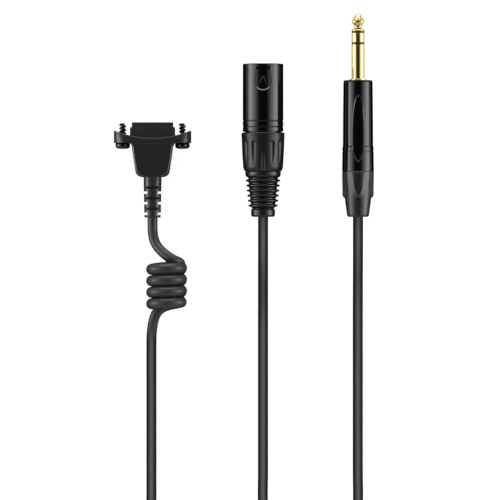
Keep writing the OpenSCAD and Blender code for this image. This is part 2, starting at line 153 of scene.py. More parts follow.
class NodeTree:
    """A node tree that takes any node through one method."""

    def __init__(self, tree: bpy.types.NodeTree) -> None:
        """Wraps a tree.

        Args:
            tree: The tree of a material or of the world.
        """
        self.tree = tree

    def own(self, kind: str) -> bpy.types.Node:
        """The node of a type that the tree came with."""
        return next(node for node in self.tree.nodes if node.type == kind)

    def node(self, kind: str, settings: Mapping[str, Any] | None = None,
             inputs: Mapping[str | int, Any] | None = None) -> bpy.types.Node:
        """Adds any node.

        Args:
            kind: The node's type.
            settings: Its own properties, which are set first; "stops" fills a colour ramp.
            inputs: Values, or sockets to link, by the input's name or number.

        Returns:
            The new node.
        """
        made = self.tree.nodes.new(kind)
        for key, value in (settings or {}).items():
            if key == "stops":
                ramp = made.color_ramp
                while len(ramp.elements) < len(value):
                    ramp.elements.new(0.5)
                for element, (place, colour) in zip(ramp.elements, value):
                    element.position = place
                    element.color = (*colour, 1.0)
            else:
                setattr(made, key, value)
        for key, value in (inputs or {}).items():
            self.feed(made.inputs[key], value)
        return made

    def feed(self, place: bpy.types.NodeSocket, value: Any) -> None:
        """Gives an input its value.

        Args:
            place: The input socket.
            value: A Sock, an output socket, a number, a colour or a vector.
        """
        if isinstance(value, Sock):
            self.tree.links.new(value.socket, place)
        elif isinstance(value, bpy.types.NodeSocket):
            self.tree.links.new(value, place)
        elif place.type == "RGBA" and len(value) == 3:
            place.default_value = (*value, 1.0)
        else:
            place.default_value = value

    def sock(self, node: bpy.types.Node, output: str | int = 0) -> Sock:
        """One output of a node, ready for arithmetic."""
        return Sock(self.tree, node.outputs[output])


class Shader(NodeTree):
    """A node material around one Principled shader."""

    def __init__(self, name: str) -> None:
        """Makes the material.

        Args:
            name: The material's name.
        """
        self.material = bpy.data.materials.new(name)
        self.material.use_nodes = True
        super().__init__(self.material.node_tree)
        self.base = self.own("BSDF_PRINCIPLED")

    def place(self) -> bpy.types.NodeSocket:
        """Object coordinates, in metres."""
        return self.node("ShaderNodeTexCoord").outputs["Object"]

    def along(self, stretch: Point) -> bpy.types.NodeSocket:
        """Object coordinates scaled on each axis, so that a grain runs in one direction."""
        made = self.node("ShaderNodeMapping", inputs={"Vector": self.place(), "Scale": stretch})
        return made.outputs[0]

    def parts(self, vector: bpy.types.NodeSocket) -> tuple[Sock, Sock, Sock]:
        """X, Y and Z of a vector.

        Args:
            vector: The vector's socket.

        Returns:
            Its three parts, ready for arithmetic.
        """
        split = self.node("ShaderNodeSeparateXYZ", inputs={0: vector})
        return self.sock(split, 0), self.sock(split, 1), self.sock(split, 2)

    def noise(self, scale: float, detail: float = 3.0, roughness: float = 0.5,
              vector: bpy.types.NodeSocket | None = None) -> Sock:
        """Noise over the surface.

        Args:
            scale: Repeats to a metre.
            detail: Octaves of the noise.
            roughness: How strong the fine octaves are.
            vector: Coordinates, or the object's own when left out.

        Returns:
            The noise, from 0 to 1.
        """
        return self.sock(self.node("ShaderNodeTexNoise", inputs={
            "Vector": vector or self.place(), "Scale": scale, "Detail": detail,
            "Roughness": roughness}))

    def mix(self, factor: Sock | Number, first: Any, second: Any) -> bpy.types.NodeSocket:
        """Mixes two colours.

        Args:
            factor: How much of the second shows.
            first: A colour or a colour socket.
            second: A colour or a colour socket.

        Returns:
            The mixed colour.
        """
        made = self.node("ShaderNodeMix", {"data_type": "RGBA"})
        self.feed(made.inputs[0], factor)
        self.feed(made.inputs[6], first)
        self.feed(made.inputs[7], second)
        return made.outputs[2]

    def bump(self, height: Sock, distance: float, strength: float = 1.0) -> None:
        """Raises the surface by a height pattern.

        Args:
            height: The pattern, from 0 to 1.
            distance: How high 1 stands, in metres.
            strength: How much of it shows.
        """
        made = self.node("ShaderNodeBump", inputs={
            "Height": height, "Distance": distance, "Strength": strength})
        self.feed(self.base.inputs["Normal"], made.outputs[0])

    def set(self, **values: Any) -> None:
        """Sets the Principled shader's inputs, with _ for a space in their names."""
        for key, value in values.items():
            self.feed(self.base.inputs[key.replace("_", " ")], value)


# ---- Finishes ------------------------------------------------------------------------

@dataclass(frozen=True)
class Finish:
    """A plain finish: a colour with fine grain in its roughness and surface.

    The grain is its repeats to a metre, the depth is how high it stands in metres, the spread is
    how far the roughness varies, and the shade is how dark its broad patches are.
    """

    name: str
    colour: Colour
    roughness: float
    metallic: float = 0.0
    specular: float = 0.5
    grain: float = 4000.0
    depth: float = 0.00001
    spread: float = 0.08
    shade: float = 0.8

    def make(self) -> bpy.types.Material:
        """Builds the material.

        Returns:
            The finished material.
        """
        shader = Shader(self.name)
        fine = shader.noise(self.grain, 2.0)
        broad = shader.noise(self.grain / 40.0, 3.0)
        darker = tuple(part * self.shade for part in self.colour)
        shader.set(Base_Color=shader.mix(broad, darker, self.colour), Metallic=self.metallic,
                   Specular_IOR_Level=self.specular,
                   Roughness=(fine * self.spread + (self.roughness - self.spread / 2)).kept())
        self.detail(shader, fine)
        return shader.material

    def detail(self, shader: Shader, fine: Sock) -> None:
        """Adds the finish's own surface.

        Args:
            shader: The material's shader.
            fine: The fine grain, from 0 to 1.
        """
        shader.bump(fine, self.depth)


@dataclass(frozen=True)
class PlatedBlack(Finish):
    """Black plating over turned metal: mirror-like face on, and dark towards its edges."""

    def detail(self, shader: Shader, fine: Sock) -> None:
        """Adds faint turning marks round the part and the dark edge of the plating.

        Args:
            shader: The material's shader.
            fine: The fine grain, from 0 to 1.
        """
        marks = shader.noise(1.0, 2.0, vector=shader.along((60.0, 9000.0, 60.0)))
        shader.bump(marks * 0.6 + fine * 0.4, self.depth)
        shader.set(Specular_Tint=(0.0, 0.0, 0.0))


@dataclass(frozen=True)
class PlatedGold(Finish):
    """Polished gold plate."""

    def detail(self, shader: Shader, fine: Sock) -> None:
        """Adds the faint rings that turning leaves under the plate.

        Args:
            shader: The material's shader.
            fine: The fine grain, from 0 to 1.
        """
        marks = shader.noise(1.0, 2.0, vector=shader.along((40.0, 7000.0, 40.0)))
        shader.bump(marks, self.depth)
        shader.set(Specular_Tint=(0.95, 0.85, 0.6))


@dataclass(frozen=True)
class Satin(Finish):
    """Black plastic or rubber whose sheen dies away towards its edges."""

    def detail(self, shader: Shader, fine: Sock) -> None:
        """Adds the moulded surface, and takes the pale rim off the sheen.

        Args:
            shader: The material's shader.
            fine: The fine grain, from 0 to 1.
        """
        shader.bump(fine, self.depth)
        shader.set(Specular_IOR_Level=0.0, Specular_Tint=(0.0, 0.0, 0.0))


@dataclass(frozen=True)
class Jacket(Satin):
    """Soft cable jacket with painted light: a highlight on top of its straight runs, shade at the
    sides.

    Towards -Y, a lead runs straight, and carries the painted light, from painted_top_from on, and
    changes over painted_top_over. Left of coil_side lies the headset lead, which has its curly coil
    first, so it changes from curly_to on, over curly_over. These places and lengths are in metres.
    """

    # Painted highlight: the colour of the top of the straight runs, where they face up.
    painted_top_highlight: Colour = (0.13, 0.13, 0.13)
    # Painted shade: the darker colour of the sides of the straight runs.
    side: Colour = (0.013, 0.013, 0.013)
    sharpness: float = 10.0
    painted_top_from: float = -0.0425
    painted_top_over: float = 0.006
    coil_side: float = -0.02
    curly_to: float = -0.094
    curly_over: float = 0.012

    def detail(self, shader: Shader, fine: Sock) -> None:
        """Adds a waxy unevenness, and the painted highlight and painted shade of the straight runs.

        Args:
            shader: The material's shader.
            fine: The fine grain, from 0 to 1.
        """
        soft = shader.noise(260.0, 2.0)
        shader.bump(soft * 0.7 + fine * 0.3, self.depth)
        shader.set(Specular_IOR_Level=0.0, Specular_Tint=(0.0, 0.0, 0.0))
        upward = shader.parts(shader.node("ShaderNodeNewGeometry").outputs["Normal"])[2]
        x, y, _ = shader.parts(shader.place())
        past_coil = ((self.curly_to - y) / self.curly_over).kept()
        loose = (x.over(self.coil_side) + past_coil).kept()
        # Where the painted light goes: the straight runs, away from the curly coil.
        straight = ((self.painted_top_from - y) / self.painted_top_over).kept() * loose
        # Painted highlight: the base colour turns lighter where the surface faces up.
        top = upward.kept() ** self.sharpness * (0.85 + 0.15 * soft) * straight
        # Painted shade: elsewhere on the straight runs the base colour is darkened to the side
        # colour.
        plain = shader.mix(straight, self.colour, self.side)
        shader.set(Base_Color=shader.mix(top, plain, self.painted_top_highlight),
                   Metallic=self.metallic * (1 - 0.9 * straight))


@dataclass(frozen=True)
class HookLoop(Finish):
    """Woven hook-and-loop tape, with its loops as a fine crossed weave."""

    weave: float = 9000.0

    def detail(self, shader: Shader, fine: Sock) -> None:
        """Adds the weave as crossed waves.

        Args:
            shader: The material's shader.
            fine: The fine grain, from 0 to 1.
        """
        x, y, z = ((part * self.weave).sine() for part in shader.parts(shader.place()))
        across, upward = x * y, z
        shader.bump(across * 0.3 + upward * 0.3 + fine * 0.5, self.depth)
        shader.set(Sheen_Weight=0.2)


@dataclass(frozen=True)
class WireCores(Finish):
    """Insulated cores in several colours, told apart by where they run across the plug."""

    bands: float = 420.0
    white: Colour = (0.75, 0.72, 0.66)
    blue: Colour = (0.03, 0.12, 0.4)

    def make(self) -> bpy.types.Material:
        """Builds the material.

        Returns:
            The finished material.
        """
        shader = Shader(self.name)
        band = (shader.parts(shader.place())[0] * self.bands).fraction()
        two = shader.mix(band.over(0.33), self.colour, self.white)
        shader.set(Base_Color=shader.mix(band.over(0.66), two, self.blue),
                   Roughness=shader.noise(900.0) * 0.2 + self.roughness)
        return shader.material


FINISHES: dict[str, Finish] = {finish.name: finish for finish in (
    Satin("moulded_black", (0.075, 0.075, 0.076), 0.3, metallic=0.83, depth=0.000004),
    Satin("block_black", (0.035, 0.035, 0.035), 0.4, metallic=0.35, depth=0.000006),
    PlatedGold("contact_gold", (0.62, 0.49, 0.2), 0.22, metallic=1.0, depth=0.000002),
    PlatedBlack("screw_black", (0.05, 0.05, 0.05), 0.2, metallic=1.0, depth=0.000002),
    Finish("spring_steel", (0.55, 0.55, 0.57), 0.3, metallic=1.0, depth=0.000003),
    Satin("soft_black", (0.068, 0.068, 0.068), 0.3, metallic=0.72, depth=0.000004),
    Finish("crimp_tin", (0.55, 0.55, 0.56), 0.36, metallic=1.0, depth=0.000006),
    WireCores("wire_mixed", (0.5, 0.04, 0.03), 0.3),
    PlatedBlack("shell_black", (0.046, 0.046, 0.047), 0.16, metallic=1.0, depth=0.000001,
                spread=0.03),
    Satin("insert_black", (0.02, 0.02, 0.02), 0.45, metallic=0.4),
    Finish("pin_silver", (0.75, 0.74, 0.72), 0.16, metallic=1.0, depth=0.000001),
    Finish("chuck_white", (0.72, 0.7, 0.64), 0.45),
    Satin("collar_black", (0.04, 0.04, 0.04), 0.32, metallic=0.82, depth=0.000005),
    Satin("nut_black", (0.062, 0.062, 0.062), 0.32, metallic=0.85, depth=0.000004),
    Satin("boot_black", (0.05, 0.05, 0.05), 0.26, metallic=0.84, depth=0.000003),
    PlatedGold("finger_gold", (0.62, 0.49, 0.2), 0.12, metallic=1.0, depth=0.0000006,
               spread=0.03),
    Finish("finger_insulator", (0.012, 0.008, 0.006), 0.3),
    Finish("holder_white", (0.72, 0.7, 0.64), 0.4),
    Jacket("jacket_black", (0.06, 0.06, 0.06), 0.36, metallic=0.5, depth=0.000006),
    HookLoop("tie_black", (0.02, 0.02, 0.02), 0.8, depth=0.0001),
)}


class Wardrobe:
    """Makes each finish once and hands it out."""

    def __init__(self) -> None:
        """Starts empty."""
        self.made: dict[str, bpy.types.Material] = {}

    def material(self, slot: str) -> bpy.types.Material:
        """The material of a slot, made at its first use.

        Args:
            slot: The finish's slot.

        Returns:
            The material.
        """
        if slot not in self.made:
            self.made[slot] = FINISHES[slot].make()
        return self.made[slot]

    def dress(self, piece: bpy.types.Object, slot: str) -> None:
        """Gives a piece its finish.

        Args:
            piece: The piece.
            slot: The finish's slot.
        """
        piece.data.materials.clear()
        piece.data.materials.append(self.material(slot))


WARDROBE = Wardrobe()


# ---- Modelling moves -----------------------------------------------------------------

class Pick(Enum):
    """What is selected in edit mode."""

    VERTS = "VERT"
    EDGES = "EDGE"


class Cut(Enum):
    """How one solid works on another."""

    AWAY = "DIFFERENCE"
    COMMON = "INTERSECT"
    JOIN = "UNION"


@dataclass(frozen=True)
class Axis:
    """The axis of a plug, which runs along +Y; heights on it are from the cable end, in mm."""

    x: float
    low: float
    z: float

    def spot(self, height: Number, up: Number = 0.0, side: Number = 0.0) -> Vector:
        """A point of the frame.

        Args:
            height: Distance from the cable end, in mm.
            up: Distance over the axis, in mm.
            side: Distance to the right of the axis, in mm.

        Returns:
            The point, in metres.
        """
        return Vector((self.x + side * MM, self.low + height * MM, self.z + up * MM))

    @classmethod
    def of(cls, node: str, low: float) -> "Axis":
        """The axis through the middle of a CAD node's box.

        Args:
            node: The node's name.
            low: Where the plug's cable end lies along Y, in metres.

        Returns:
            The axis.
        """
        first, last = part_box(node)
        return cls((first.x + last.x) / 2, low, (first.z + last.z) / 2)


@dataclass(frozen=True)
class Slice:
    """A rounded rectangle across a plug's axis, in mm."""

    height: float
    width: float
    thick: float
    corner: float

    @classmethod
    def round(cls, height: float, width: float, thick: float) -> "Slice":
        """A slice with round sides, whose corners stay a sliver apart.

        Args:
            height: Distance from the cable end, in mm.
            width: Its width.
            thick: Its thickness.

        Returns:
            The slice.
        """
        return cls(height, width, thick, thick / 2 - SLIVER)

    def outline(self, per_corner: int) -> list[Spot]:
        """The rectangle's points.

        Args:
            per_corner: Steps in each rounded corner.

        Returns:
            The points in order, as side and up from the axis.
        """
        made = []
        for number, (side, up) in enumerate([(1, 1), (-1, 1), (-1, -1), (1, -1)]):
            for step in range(per_corner + 1):
                turn = math.radians(90 * (number + step / per_corner))
                made.append((side * (self.width / 2 - self.corner) + self.corner * math.cos(turn),
                             up * (self.thick / 2 - self.corner) + self.corner * math.sin(turn)))
        return made


class Bench:
    """Moves of modelling by hand."""

    @staticmethod
    def clear() -> None:
        """Leaves edit mode and deselects everything."""
        if bpy.context.object and bpy.context.object.mode != "OBJECT":
            bpy.ops.object.mode_set(mode="OBJECT")
        bpy.ops.object.select_all(action="DESELECT")

    @staticmethod
    def only(piece: bpy.types.Object) -> None:
        """Makes one piece the selected and active one.

        Args:
            piece: The piece.
        """
        Bench.clear()
        piece.select_set(True)
        bpy.context.view_layer.objects.active = piece

    @staticmethod
    def name(label: str) -> bpy.types.Object:
        """Names the piece just added, and puts its place in its mesh.

        Args:
            label: The piece's name.

        Returns:
            The piece.
        """
        bpy.ops.object.transform_apply(location=True, rotation=True, scale=True)
        piece = bpy.context.object
        piece.name = label
        piece.data.name = label
        return piece

    @staticmethod
    @contextmanager
    def edit(piece: bpy.types.Object, pick: Pick = Pick.VERTS) -> Iterator[None]:
        """Edit mode on one piece, with everything selected.

        Args:
            piece: The piece to edit.
            pick: What is selected.

        Yields:
            Nothing, while the piece is in edit mode.
        """
        Bench.only(piece)
        bpy.ops.object.mode_set(mode="EDIT")
        bpy.ops.mesh.select_mode(type=pick.value)
        bpy.ops.mesh.select_all(action="SELECT")
        try:
            yield
        finally:
            bpy.ops.object.mode_set(mode="OBJECT")
            Bench.clear()

    @staticmethod
    def chain(label: str, spots: Sequence[Vector]) -> bpy.types.Object:
        """Draws a line of edges, vertex by vertex.

        Args:
            label: The piece's name.
            spots: The points, in metres.

        Returns:
            The piece.
        """
        Bench.clear()
        bpy.ops.mesh.primitive_plane_add(size=MM)
        piece = Bench.name(label)
        with Bench.edit(piece):
            bpy.ops.mesh.merge(type="CENTER")
            bpy.ops.transform.translate(value=spots[0])
            for here, there in zip(spots, spots[1:]):
                bpy.ops.mesh.extrude_region_move(TRANSFORM_OT_translate={"value": there - here})
        return piece

    @staticmethod
    def turned(label: str, axis: Axis, outline: Sequence[Spot], hollow: bool = False,
               steps: int = 96) -> bpy.types.Object:
        """Spins an outline round a plug's axis.

        Args:
            label: The piece's name.
            axis: The plug's axis.
            outline: Heights and radii in mm.
            hollow: Whether the outline closes on itself, and not on the axis.
            steps: Steps in a full turn.

        Returns:
            The closed piece.
        """
        spots = [axis.spot(height, radius) for height, radius in outline]
        piece = Bench.chain(label, [*spots, spots[0]] if hollow else spots)
        with Bench.edit(piece):
            bpy.ops.mesh.spin(steps=steps, angle=math.tau, center=axis.spot(0), axis=(0, 1, 0))
        return Bench.closed(piece)

    @staticmethod
    def closed(piece: bpy.types.Object) -> bpy.types.Object:
        """Merges doubles and turns every face outwards.

        Args:
            piece: The piece.

        Returns:
            The same piece.
        """
        with Bench.edit(piece):
            bpy.ops.mesh.remove_doubles(threshold=MERGE)
            bpy.ops.mesh.normals_make_consistent(inside=False)
        return piece

    @staticmethod
    def plate(label: str, spots: Sequence[Vector], thick: Vector,
              flare: Vector | None = None, about: Vector | None = None) -> bpy.types.Object:
        """A flat outline with thickness.

        Args:
            label: The piece's name.
            spots: The outline, in metres.
            thick: How far it is extruded.
            flare: How many times bigger its far end is, along X, Y and Z.
            about: The point that the far end grows from, or the origin.

        Returns:
            The closed piece.
        """
        piece = Bench.chain(label, [*spots, spots[0]])
        with Bench.edit(piece, Pick.EDGES):
            bpy.ops.mesh.remove_doubles(threshold=MERGE)
            bpy.ops.mesh.edge_face_add()
            bpy.ops.mesh.extrude_region_move(TRANSFORM_OT_translate={"value": thick})
            if flare is not None:
                bpy.ops.transform.resize(value=flare, center_override=about or Vector())
        return Bench.closed(piece)

    @staticmethod
    def skin(label: str, axis: Axis, slices: Sequence[Slice],
             per_corner: int = 7) -> bpy.types.Object:
        """Bridges rounded rectangles that stand across a plug's axis, and closes both ends.

        Args:
            label: The piece's name.
            axis: The plug's axis.
            slices: The rectangles in order.
            per_corner: Steps in each rounded corner.

        Returns:
            The closed piece.
        """
        rings = []
        for cut in slices:
            spots = [axis.spot(cut.height, up, side) for side, up in cut.outline(per_corner)]
            rings.append(Bench.chain(label, [*spots, spots[0]]))
        piece = Bench.join(rings)
        with Bench.edit(piece, Pick.EDGES):
            bpy.ops.mesh.remove_doubles(threshold=MERGE)
            bpy.ops.mesh.bridge_edge_loops()
            bpy.ops.mesh.select_all(action="DESELECT")
            bpy.ops.mesh.select_non_manifold()
            bpy.ops.mesh.fill_holes(sides=0)
        return Bench.closed(piece)

    @staticmethod
    def brick(label: str, low: Vector, high: Vector) -> bpy.types.Object:
        """A cutting block.

        Args:
            label: The piece's name.
            low: Its corner with the lowest X, Y and Z, in metres.
            high: The corner across from it.

        Returns:
            The piece.
        """
        Bench.clear()
        bpy.ops.mesh.primitive_cube_add(size=1)
        piece = Bench.name(label)
        with Bench.edit(piece):
            bpy.ops.transform.resize(value=high - low, center_override=(0, 0, 0))
            bpy.ops.transform.translate(value=(low + high) / 2)
        return piece

    @staticmethod
    def rod(label: str, first: Vector, last: Vector, radius: float,
            steps: int = 48) -> bpy.types.Object:
        """A round cutter between two points.

        Args:
            label: The piece's name.
            first: One end, in metres.
            last: The other end.
            radius: Its radius, in mm.
            steps: Its sides.

        Returns:
            The piece.
        """
        Bench.clear()
        run = last - first
        bpy.ops.mesh.primitive_cylinder_add(
            vertices=steps, radius=radius * MM, depth=run.length, location=(first + last) / 2,
            rotation=run.to_track_quat("Z", "Y").to_euler())
        return Bench.name(label)

    @staticmethod
    def join(pieces: Sequence[bpy.types.Object]) -> bpy.types.Object:
        """Joins pieces into the first of them.

        Args:
            pieces: The pieces.

        Returns:
            The first piece.
        """
        Bench.only(pieces[0])
        for piece in pieces[1:]:
            piece.select_set(True)
        if len(pieces) > 1:
            bpy.ops.object.join()
        Bench.clear()
        return pieces[0]

    @staticmethod
    def cut(piece: bpy.types.Object, tools: Sequence[bpy.types.Object],
            how: Cut = Cut.AWAY) -> None:
        """Works other solids on a piece, and throws them away.

        Args:
            piece: The piece that stays.
            tools: The solids that work on it, which don't touch each other.
            how: What they do to it.
        """
        tool = Bench.join(tools)
        made = piece.modifiers.new("cut", "BOOLEAN")
        made.object = tool
        made.operation = how.value
        made.solver = "EXACT"
        Bench.only(piece)
        bpy.ops.object.modifier_apply(modifier=made.name)
        bpy.data.objects.remove(tool)
        Bench.clear()

    @staticmethod
    def soften(piece: bpy.types.Object, width: float, segments: int = 2, angle: float = 40.0,
               clamp: bool = False) -> None:
        """Rounds the sharp edges of a piece.

        Args:
            piece: The piece.
            width: Width of the rounding, in mm.
            segments: Its segments.
            angle: The least angle that counts as sharp, in degrees.
            clamp: Whether the rounding is kept from running over short edges.
        """
        made = piece.modifiers.new("soften", "BEVEL")
        made.width = width * MM
        made.segments = segments
        made.limit_method = "ANGLE"
        made.angle_limit = math.radians(angle)
        made.use_clamp_overlap = clamp
        made.harden_normals = False
        Bench.only(piece)
        bpy.ops.object.modifier_apply(modifier=made.name)
        Bench.clear()

    @staticmethod
    def smooth(piece: bpy.types.Object, angle: float = 34.0) -> None:
        """Shades a piece smooth, with its flat faces kept flat.

        Args:
            piece: The piece.
            angle: Edges sharper than this many degrees stay sharp.
        """
        Bench.only(piece)
        bpy.ops.object.shade_smooth_by_angle(angle=math.radians(angle))
        made = piece.modifiers.new("flat_faces", "WEIGHTED_NORMAL")
        made.keep_sharp = True
        bpy.ops.object.modifier_apply(modifier=made.name)
        Bench.clear()


def finish_piece(piece: bpy.types.Object, slot: str, body: str, *nodes: str) -> bpy.types.Object:
    """Dresses a piece and fixes it to the frame.

    Args:
        piece: The finished piece.
        slot: Its finish.
        body: The CAD body that it rides on.
        nodes: The CAD nodes that it stands for.

    Returns:
        The same piece.
    """
    WARDROBE.dress(piece, slot)
    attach(piece, body)
    if nodes:
        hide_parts(*nodes)
    LOG.info("%s: %s, on %s", piece.name, slot, body)
    return piece


# ---- Camera, light and floor ---------------------------------------------------------

@dataclass
class StudioCamera:
    """A camera straight over the plugs."""

    x: float = 2.89
    y: float = -63.26
    height: float = 2400.0
    field_of_view: float = 235.0
    sensor: float = 36.0

    def build(self) -> None:
        """Puts the camera in place."""
        data = bpy.data.cameras.new("studio_camera")
        data.sensor_width = self.sensor
        data.lens = self.sensor * self.height / self.field_of_view
        data.clip_end = 50.0
        camera = bpy.data.objects.new("studio_camera", data)
        camera.location = (self.x * MM, self.y * MM, self.height * MM)
        bpy.context.scene.collection.objects.link(camera)
        bpy.context.scene.camera = camera


@dataclass(frozen=True)
class SoftBox:
    """A rectangular soft light.

    Its size is across and up, in metres, and its strength is the brightness of its face.
    """

    name: str
    place: Point
    aim: Point
    size: Spot
    strength: float

    def build(self) -> None:
        """Puts the light in place."""
        data = bpy.data.lights.new(self.name, "AREA")
        data.shape = "RECTANGLE"
        data.size, data.size_y = self.size
        data.energy = self.strength * math.pi * self.size[0] * self.size[1]
        light = bpy.data.objects.new(self.name, data)
        light.location = self.place
        beam = Vector(self.aim) - Vector(self.place)
        light.rotation_euler = beam.to_track_quat("-Z", "Y").to_euler()
        light.visible_camera = False
        bpy.context.scene.collection.objects.link(light)


@dataclass
class Studio:
    """A white table between two tall soft boxes, under a dark ceiling.

    The sky is given as places on the way up, from the horizon, and the brightness at each. The
    floor and the lights are in metres.
    """

    floor_half: float = 12.0
    floor_colour: float = 0.3
    floor_glow: float = 0.9
    sky: tuple[Spot, ...] = (
        (0.0, 1.0), (0.26, 0.95), (0.5, 0.75), (0.67, 0.45), (0.83, 0.2), (0.951, 0.07),
        (1.0, 0.04))
    boxes: list[SoftBox] = field(default_factory=lambda: [
        SoftBox("low_box_left", (-0.9, -0.06, 0.23), (0, -0.06, 0.23), (0.55, 0.46), 4.6),
        SoftBox("low_box_right", (0.9, -0.06, 0.23), (0, -0.06, 0.23), (0.55, 0.46), 4.6),
        SoftBox("high_box_left", (-0.9, -0.06, 0.68), (0, -0.06, 0.68), (0.55, 0.44), 2.2),
        SoftBox("high_box_right", (0.9, -0.06, 0.68), (0, -0.06, 0.68), (0.55, 0.44), 2.2),
        SoftBox("top_strip_left", (-0.71, -0.06, 0.9), (-0.71, -0.06, 0.0), (0.38, 0.55), 0.7),
        SoftBox("top_strip_right", (0.71, -0.06, 0.9), (0.71, -0.06, 0.0), (0.38, 0.55), 0.7),
        SoftBox("far_box", (0.0, 0.84, 0.225), (0, -0.06, 0.225), (0.9, 0.45), 5.2),
    ])

    def build(self) -> None:
        """Builds the floor, the lights and the world."""
        self.floor()
        for box in self.boxes:
            box.build()
        self.world()
        bpy.context.scene.view_settings.view_transform = "Standard"

    def floor(self) -> None:
        """Lays the floor, which glows to white where it is seen and keeps the shadow."""
        Bench.clear()
        bpy.ops.mesh.primitive_plane_add(size=2 * self.floor_half)
        floor = Bench.name("floor")
        shader = Shader("floor_white")
        path = shader.node("ShaderNodeLightPath")
        seen = shader.sock(path, "Is Camera Ray") + shader.sock(path, "Is Glossy Ray")
        seen = (seen + shader.sock(path, "Is Transmission Ray")).kept()
        matt = shader.node("ShaderNodeBsdfDiffuse", inputs={"Color": (self.floor_colour,) * 3})
        glow = shader.node("ShaderNodeEmission", inputs={"Strength": seen * self.floor_glow})
        both = shader.node("ShaderNodeAddShader", inputs={0: matt.outputs[0], 1: glow.outputs[0]})
        shader.feed(shader.own("OUTPUT_MATERIAL").inputs[0], both.outputs[0])
        shader.tree.nodes.remove(shader.base)
        floor.data.materials.append(shader.material)

    def world(self) -> None:
        """A pale horizon that darkens towards the ceiling."""
        world = bpy.data.worlds.new("studio_world")
        world.use_nodes = True
        bpy.context.scene.world = world
        tree = NodeTree(world.node_tree)
        spot = tree.node("ShaderNodeTexCoord").outputs["Generated"]
        split = tree.node("ShaderNodeSeparateXYZ", inputs={0: spot})
        stops = [(place, (level, level, level)) for place, level in self.sky]
        ramp = tree.node("ShaderNodeValToRGB", {"stops": stops}, {0: split.outputs[2]})
        tree.feed(tree.own("BACKGROUND").inputs["Color"], ramp.outputs[0])


# ---- Leads ---------------------------------------------------------------------------

@dataclass
class CurlyCoil:
    """The short curly coil behind the headset plug; Y is from the line of the cable ends, in mm.

    Each turn crosses the top over a length of level, and comes back below over the rest of the
    pitch. The lead swells over a few points, from reach points outside the coil.
    """

    x: float = -36.15
    z: float = 9.68
    radius: float = 7.0
    first: float = -24.6
    pitch: float = 5.36
    turns: int = 4
    level: float = 0.8
    per_turn: int = 24
    return_ease: float = 1.1
    entry_from: int = 7
    entry_step: float = 0.16
    swell: float = 1.14
    reach: int = 9
    swell_over: int = 5
    shrink_over: int = 7

    def spot(self, angle: float, y: float) -> Point:
        """A point of the coil.

        Args:
            angle: How far round it is from the coil's right side, in degrees.
            y: Its place along the coil.

        Returns:
            The point.
        """
        turn = math.radians(angle)
        return (self.x + self.radius * math.cos(turn), y, self.z + self.radius * math.sin(turn))

    def points(self) -> list[Point]:
        """The coil's points.

        Returns:
            Points from the coil's underside to the right end of its last turn.
        """
        half = self.per_turn // 2
        made = [self.spot(-180 * step / half, self.first + self.entry_step * (half - step))
                for step in range(self.entry_from, half)]
        for turn in range(self.turns):
            left = self.first - turn * self.pitch
            right, back = left + self.level, self.pitch + self.level
            made += [self.spot(180 - 180 * step / half, left + self.level * step / half)
                     for step in range(half)]
            if turn < self.turns - 1:
                made += [self.spot(-180 * step / half, right - back * math.sin(
                    step / half * math.pi / 2) ** self.return_ease) for step in range(half)]
        return made

    def thicken(self, swell: dict[int, float], begun: int, ended: int) -> None:
        """Thickens the lead over the coil.

        Args:
            swell: How many times thicker the lead is at its points, which this changes.
            begun: The number of the coil's first point.
            ended: The number of the point after its last one.
        """
        points = range(begun - self.reach, ended + self.reach)
        for number in points:
            plain = swell[number]
            share = min(1.0, (number - points.start) / self.swell_over,
                        (points.stop - number) / self.shrink_over)
            swell[number] = plain + (self.swell - plain) * share


@dataclass
class StorageCoil:
    """The tied coil that holds the spare length.

    It fills nine places, three wide and three high, in order. Each turn changes to its next place
    over change_span degrees.
    """

    x: float = -11.2
    y: float = -212.0
    middle: float = 27.65
    step: float = 4.65
    low: float = 3.625
    per_turn: int = 24
    starts_at: float = 180.0
    change_from: float = 138.0
    change_span: float = 40.0
    order: tuple[tuple[int, int], ...] = (
        (1, 0), (0, 0), (-1, 0), (-1, 1), (-1, 2), (0, 2), (0, 1), (1, 1), (1, 2))

    def points(self) -> list[Point]:
        """The coil's points.

        Returns:
            Points from its left side, eight and a half turns round, to its right side.
        """
        places = [(self.middle + across * self.step, self.low + up * self.step)
                  for across, up in self.order]
        made = []
        for step in range(len(places) * self.per_turn - self.per_turn // 2 + 1):
            angle = self.starts_at + step * 360 / self.per_turn
            begun, rest = divmod(angle - self.change_from, 360)
            share = min(1.0, rest / self.change_span)
            ease = share * share * (3 - 2 * share)
            before = places[max(int(begun) - 1, 0)]
            after = places[min(int(begun), len(places) - 1)]
            radius = before[0] + ease * (after[0] - before[0])
            turn = math.radians(angle)
            made.append((self.x + radius * math.cos(turn), self.y + radius * math.sin(turn),
                         before[1] + ease * (after[1] - before[1])))
        return made


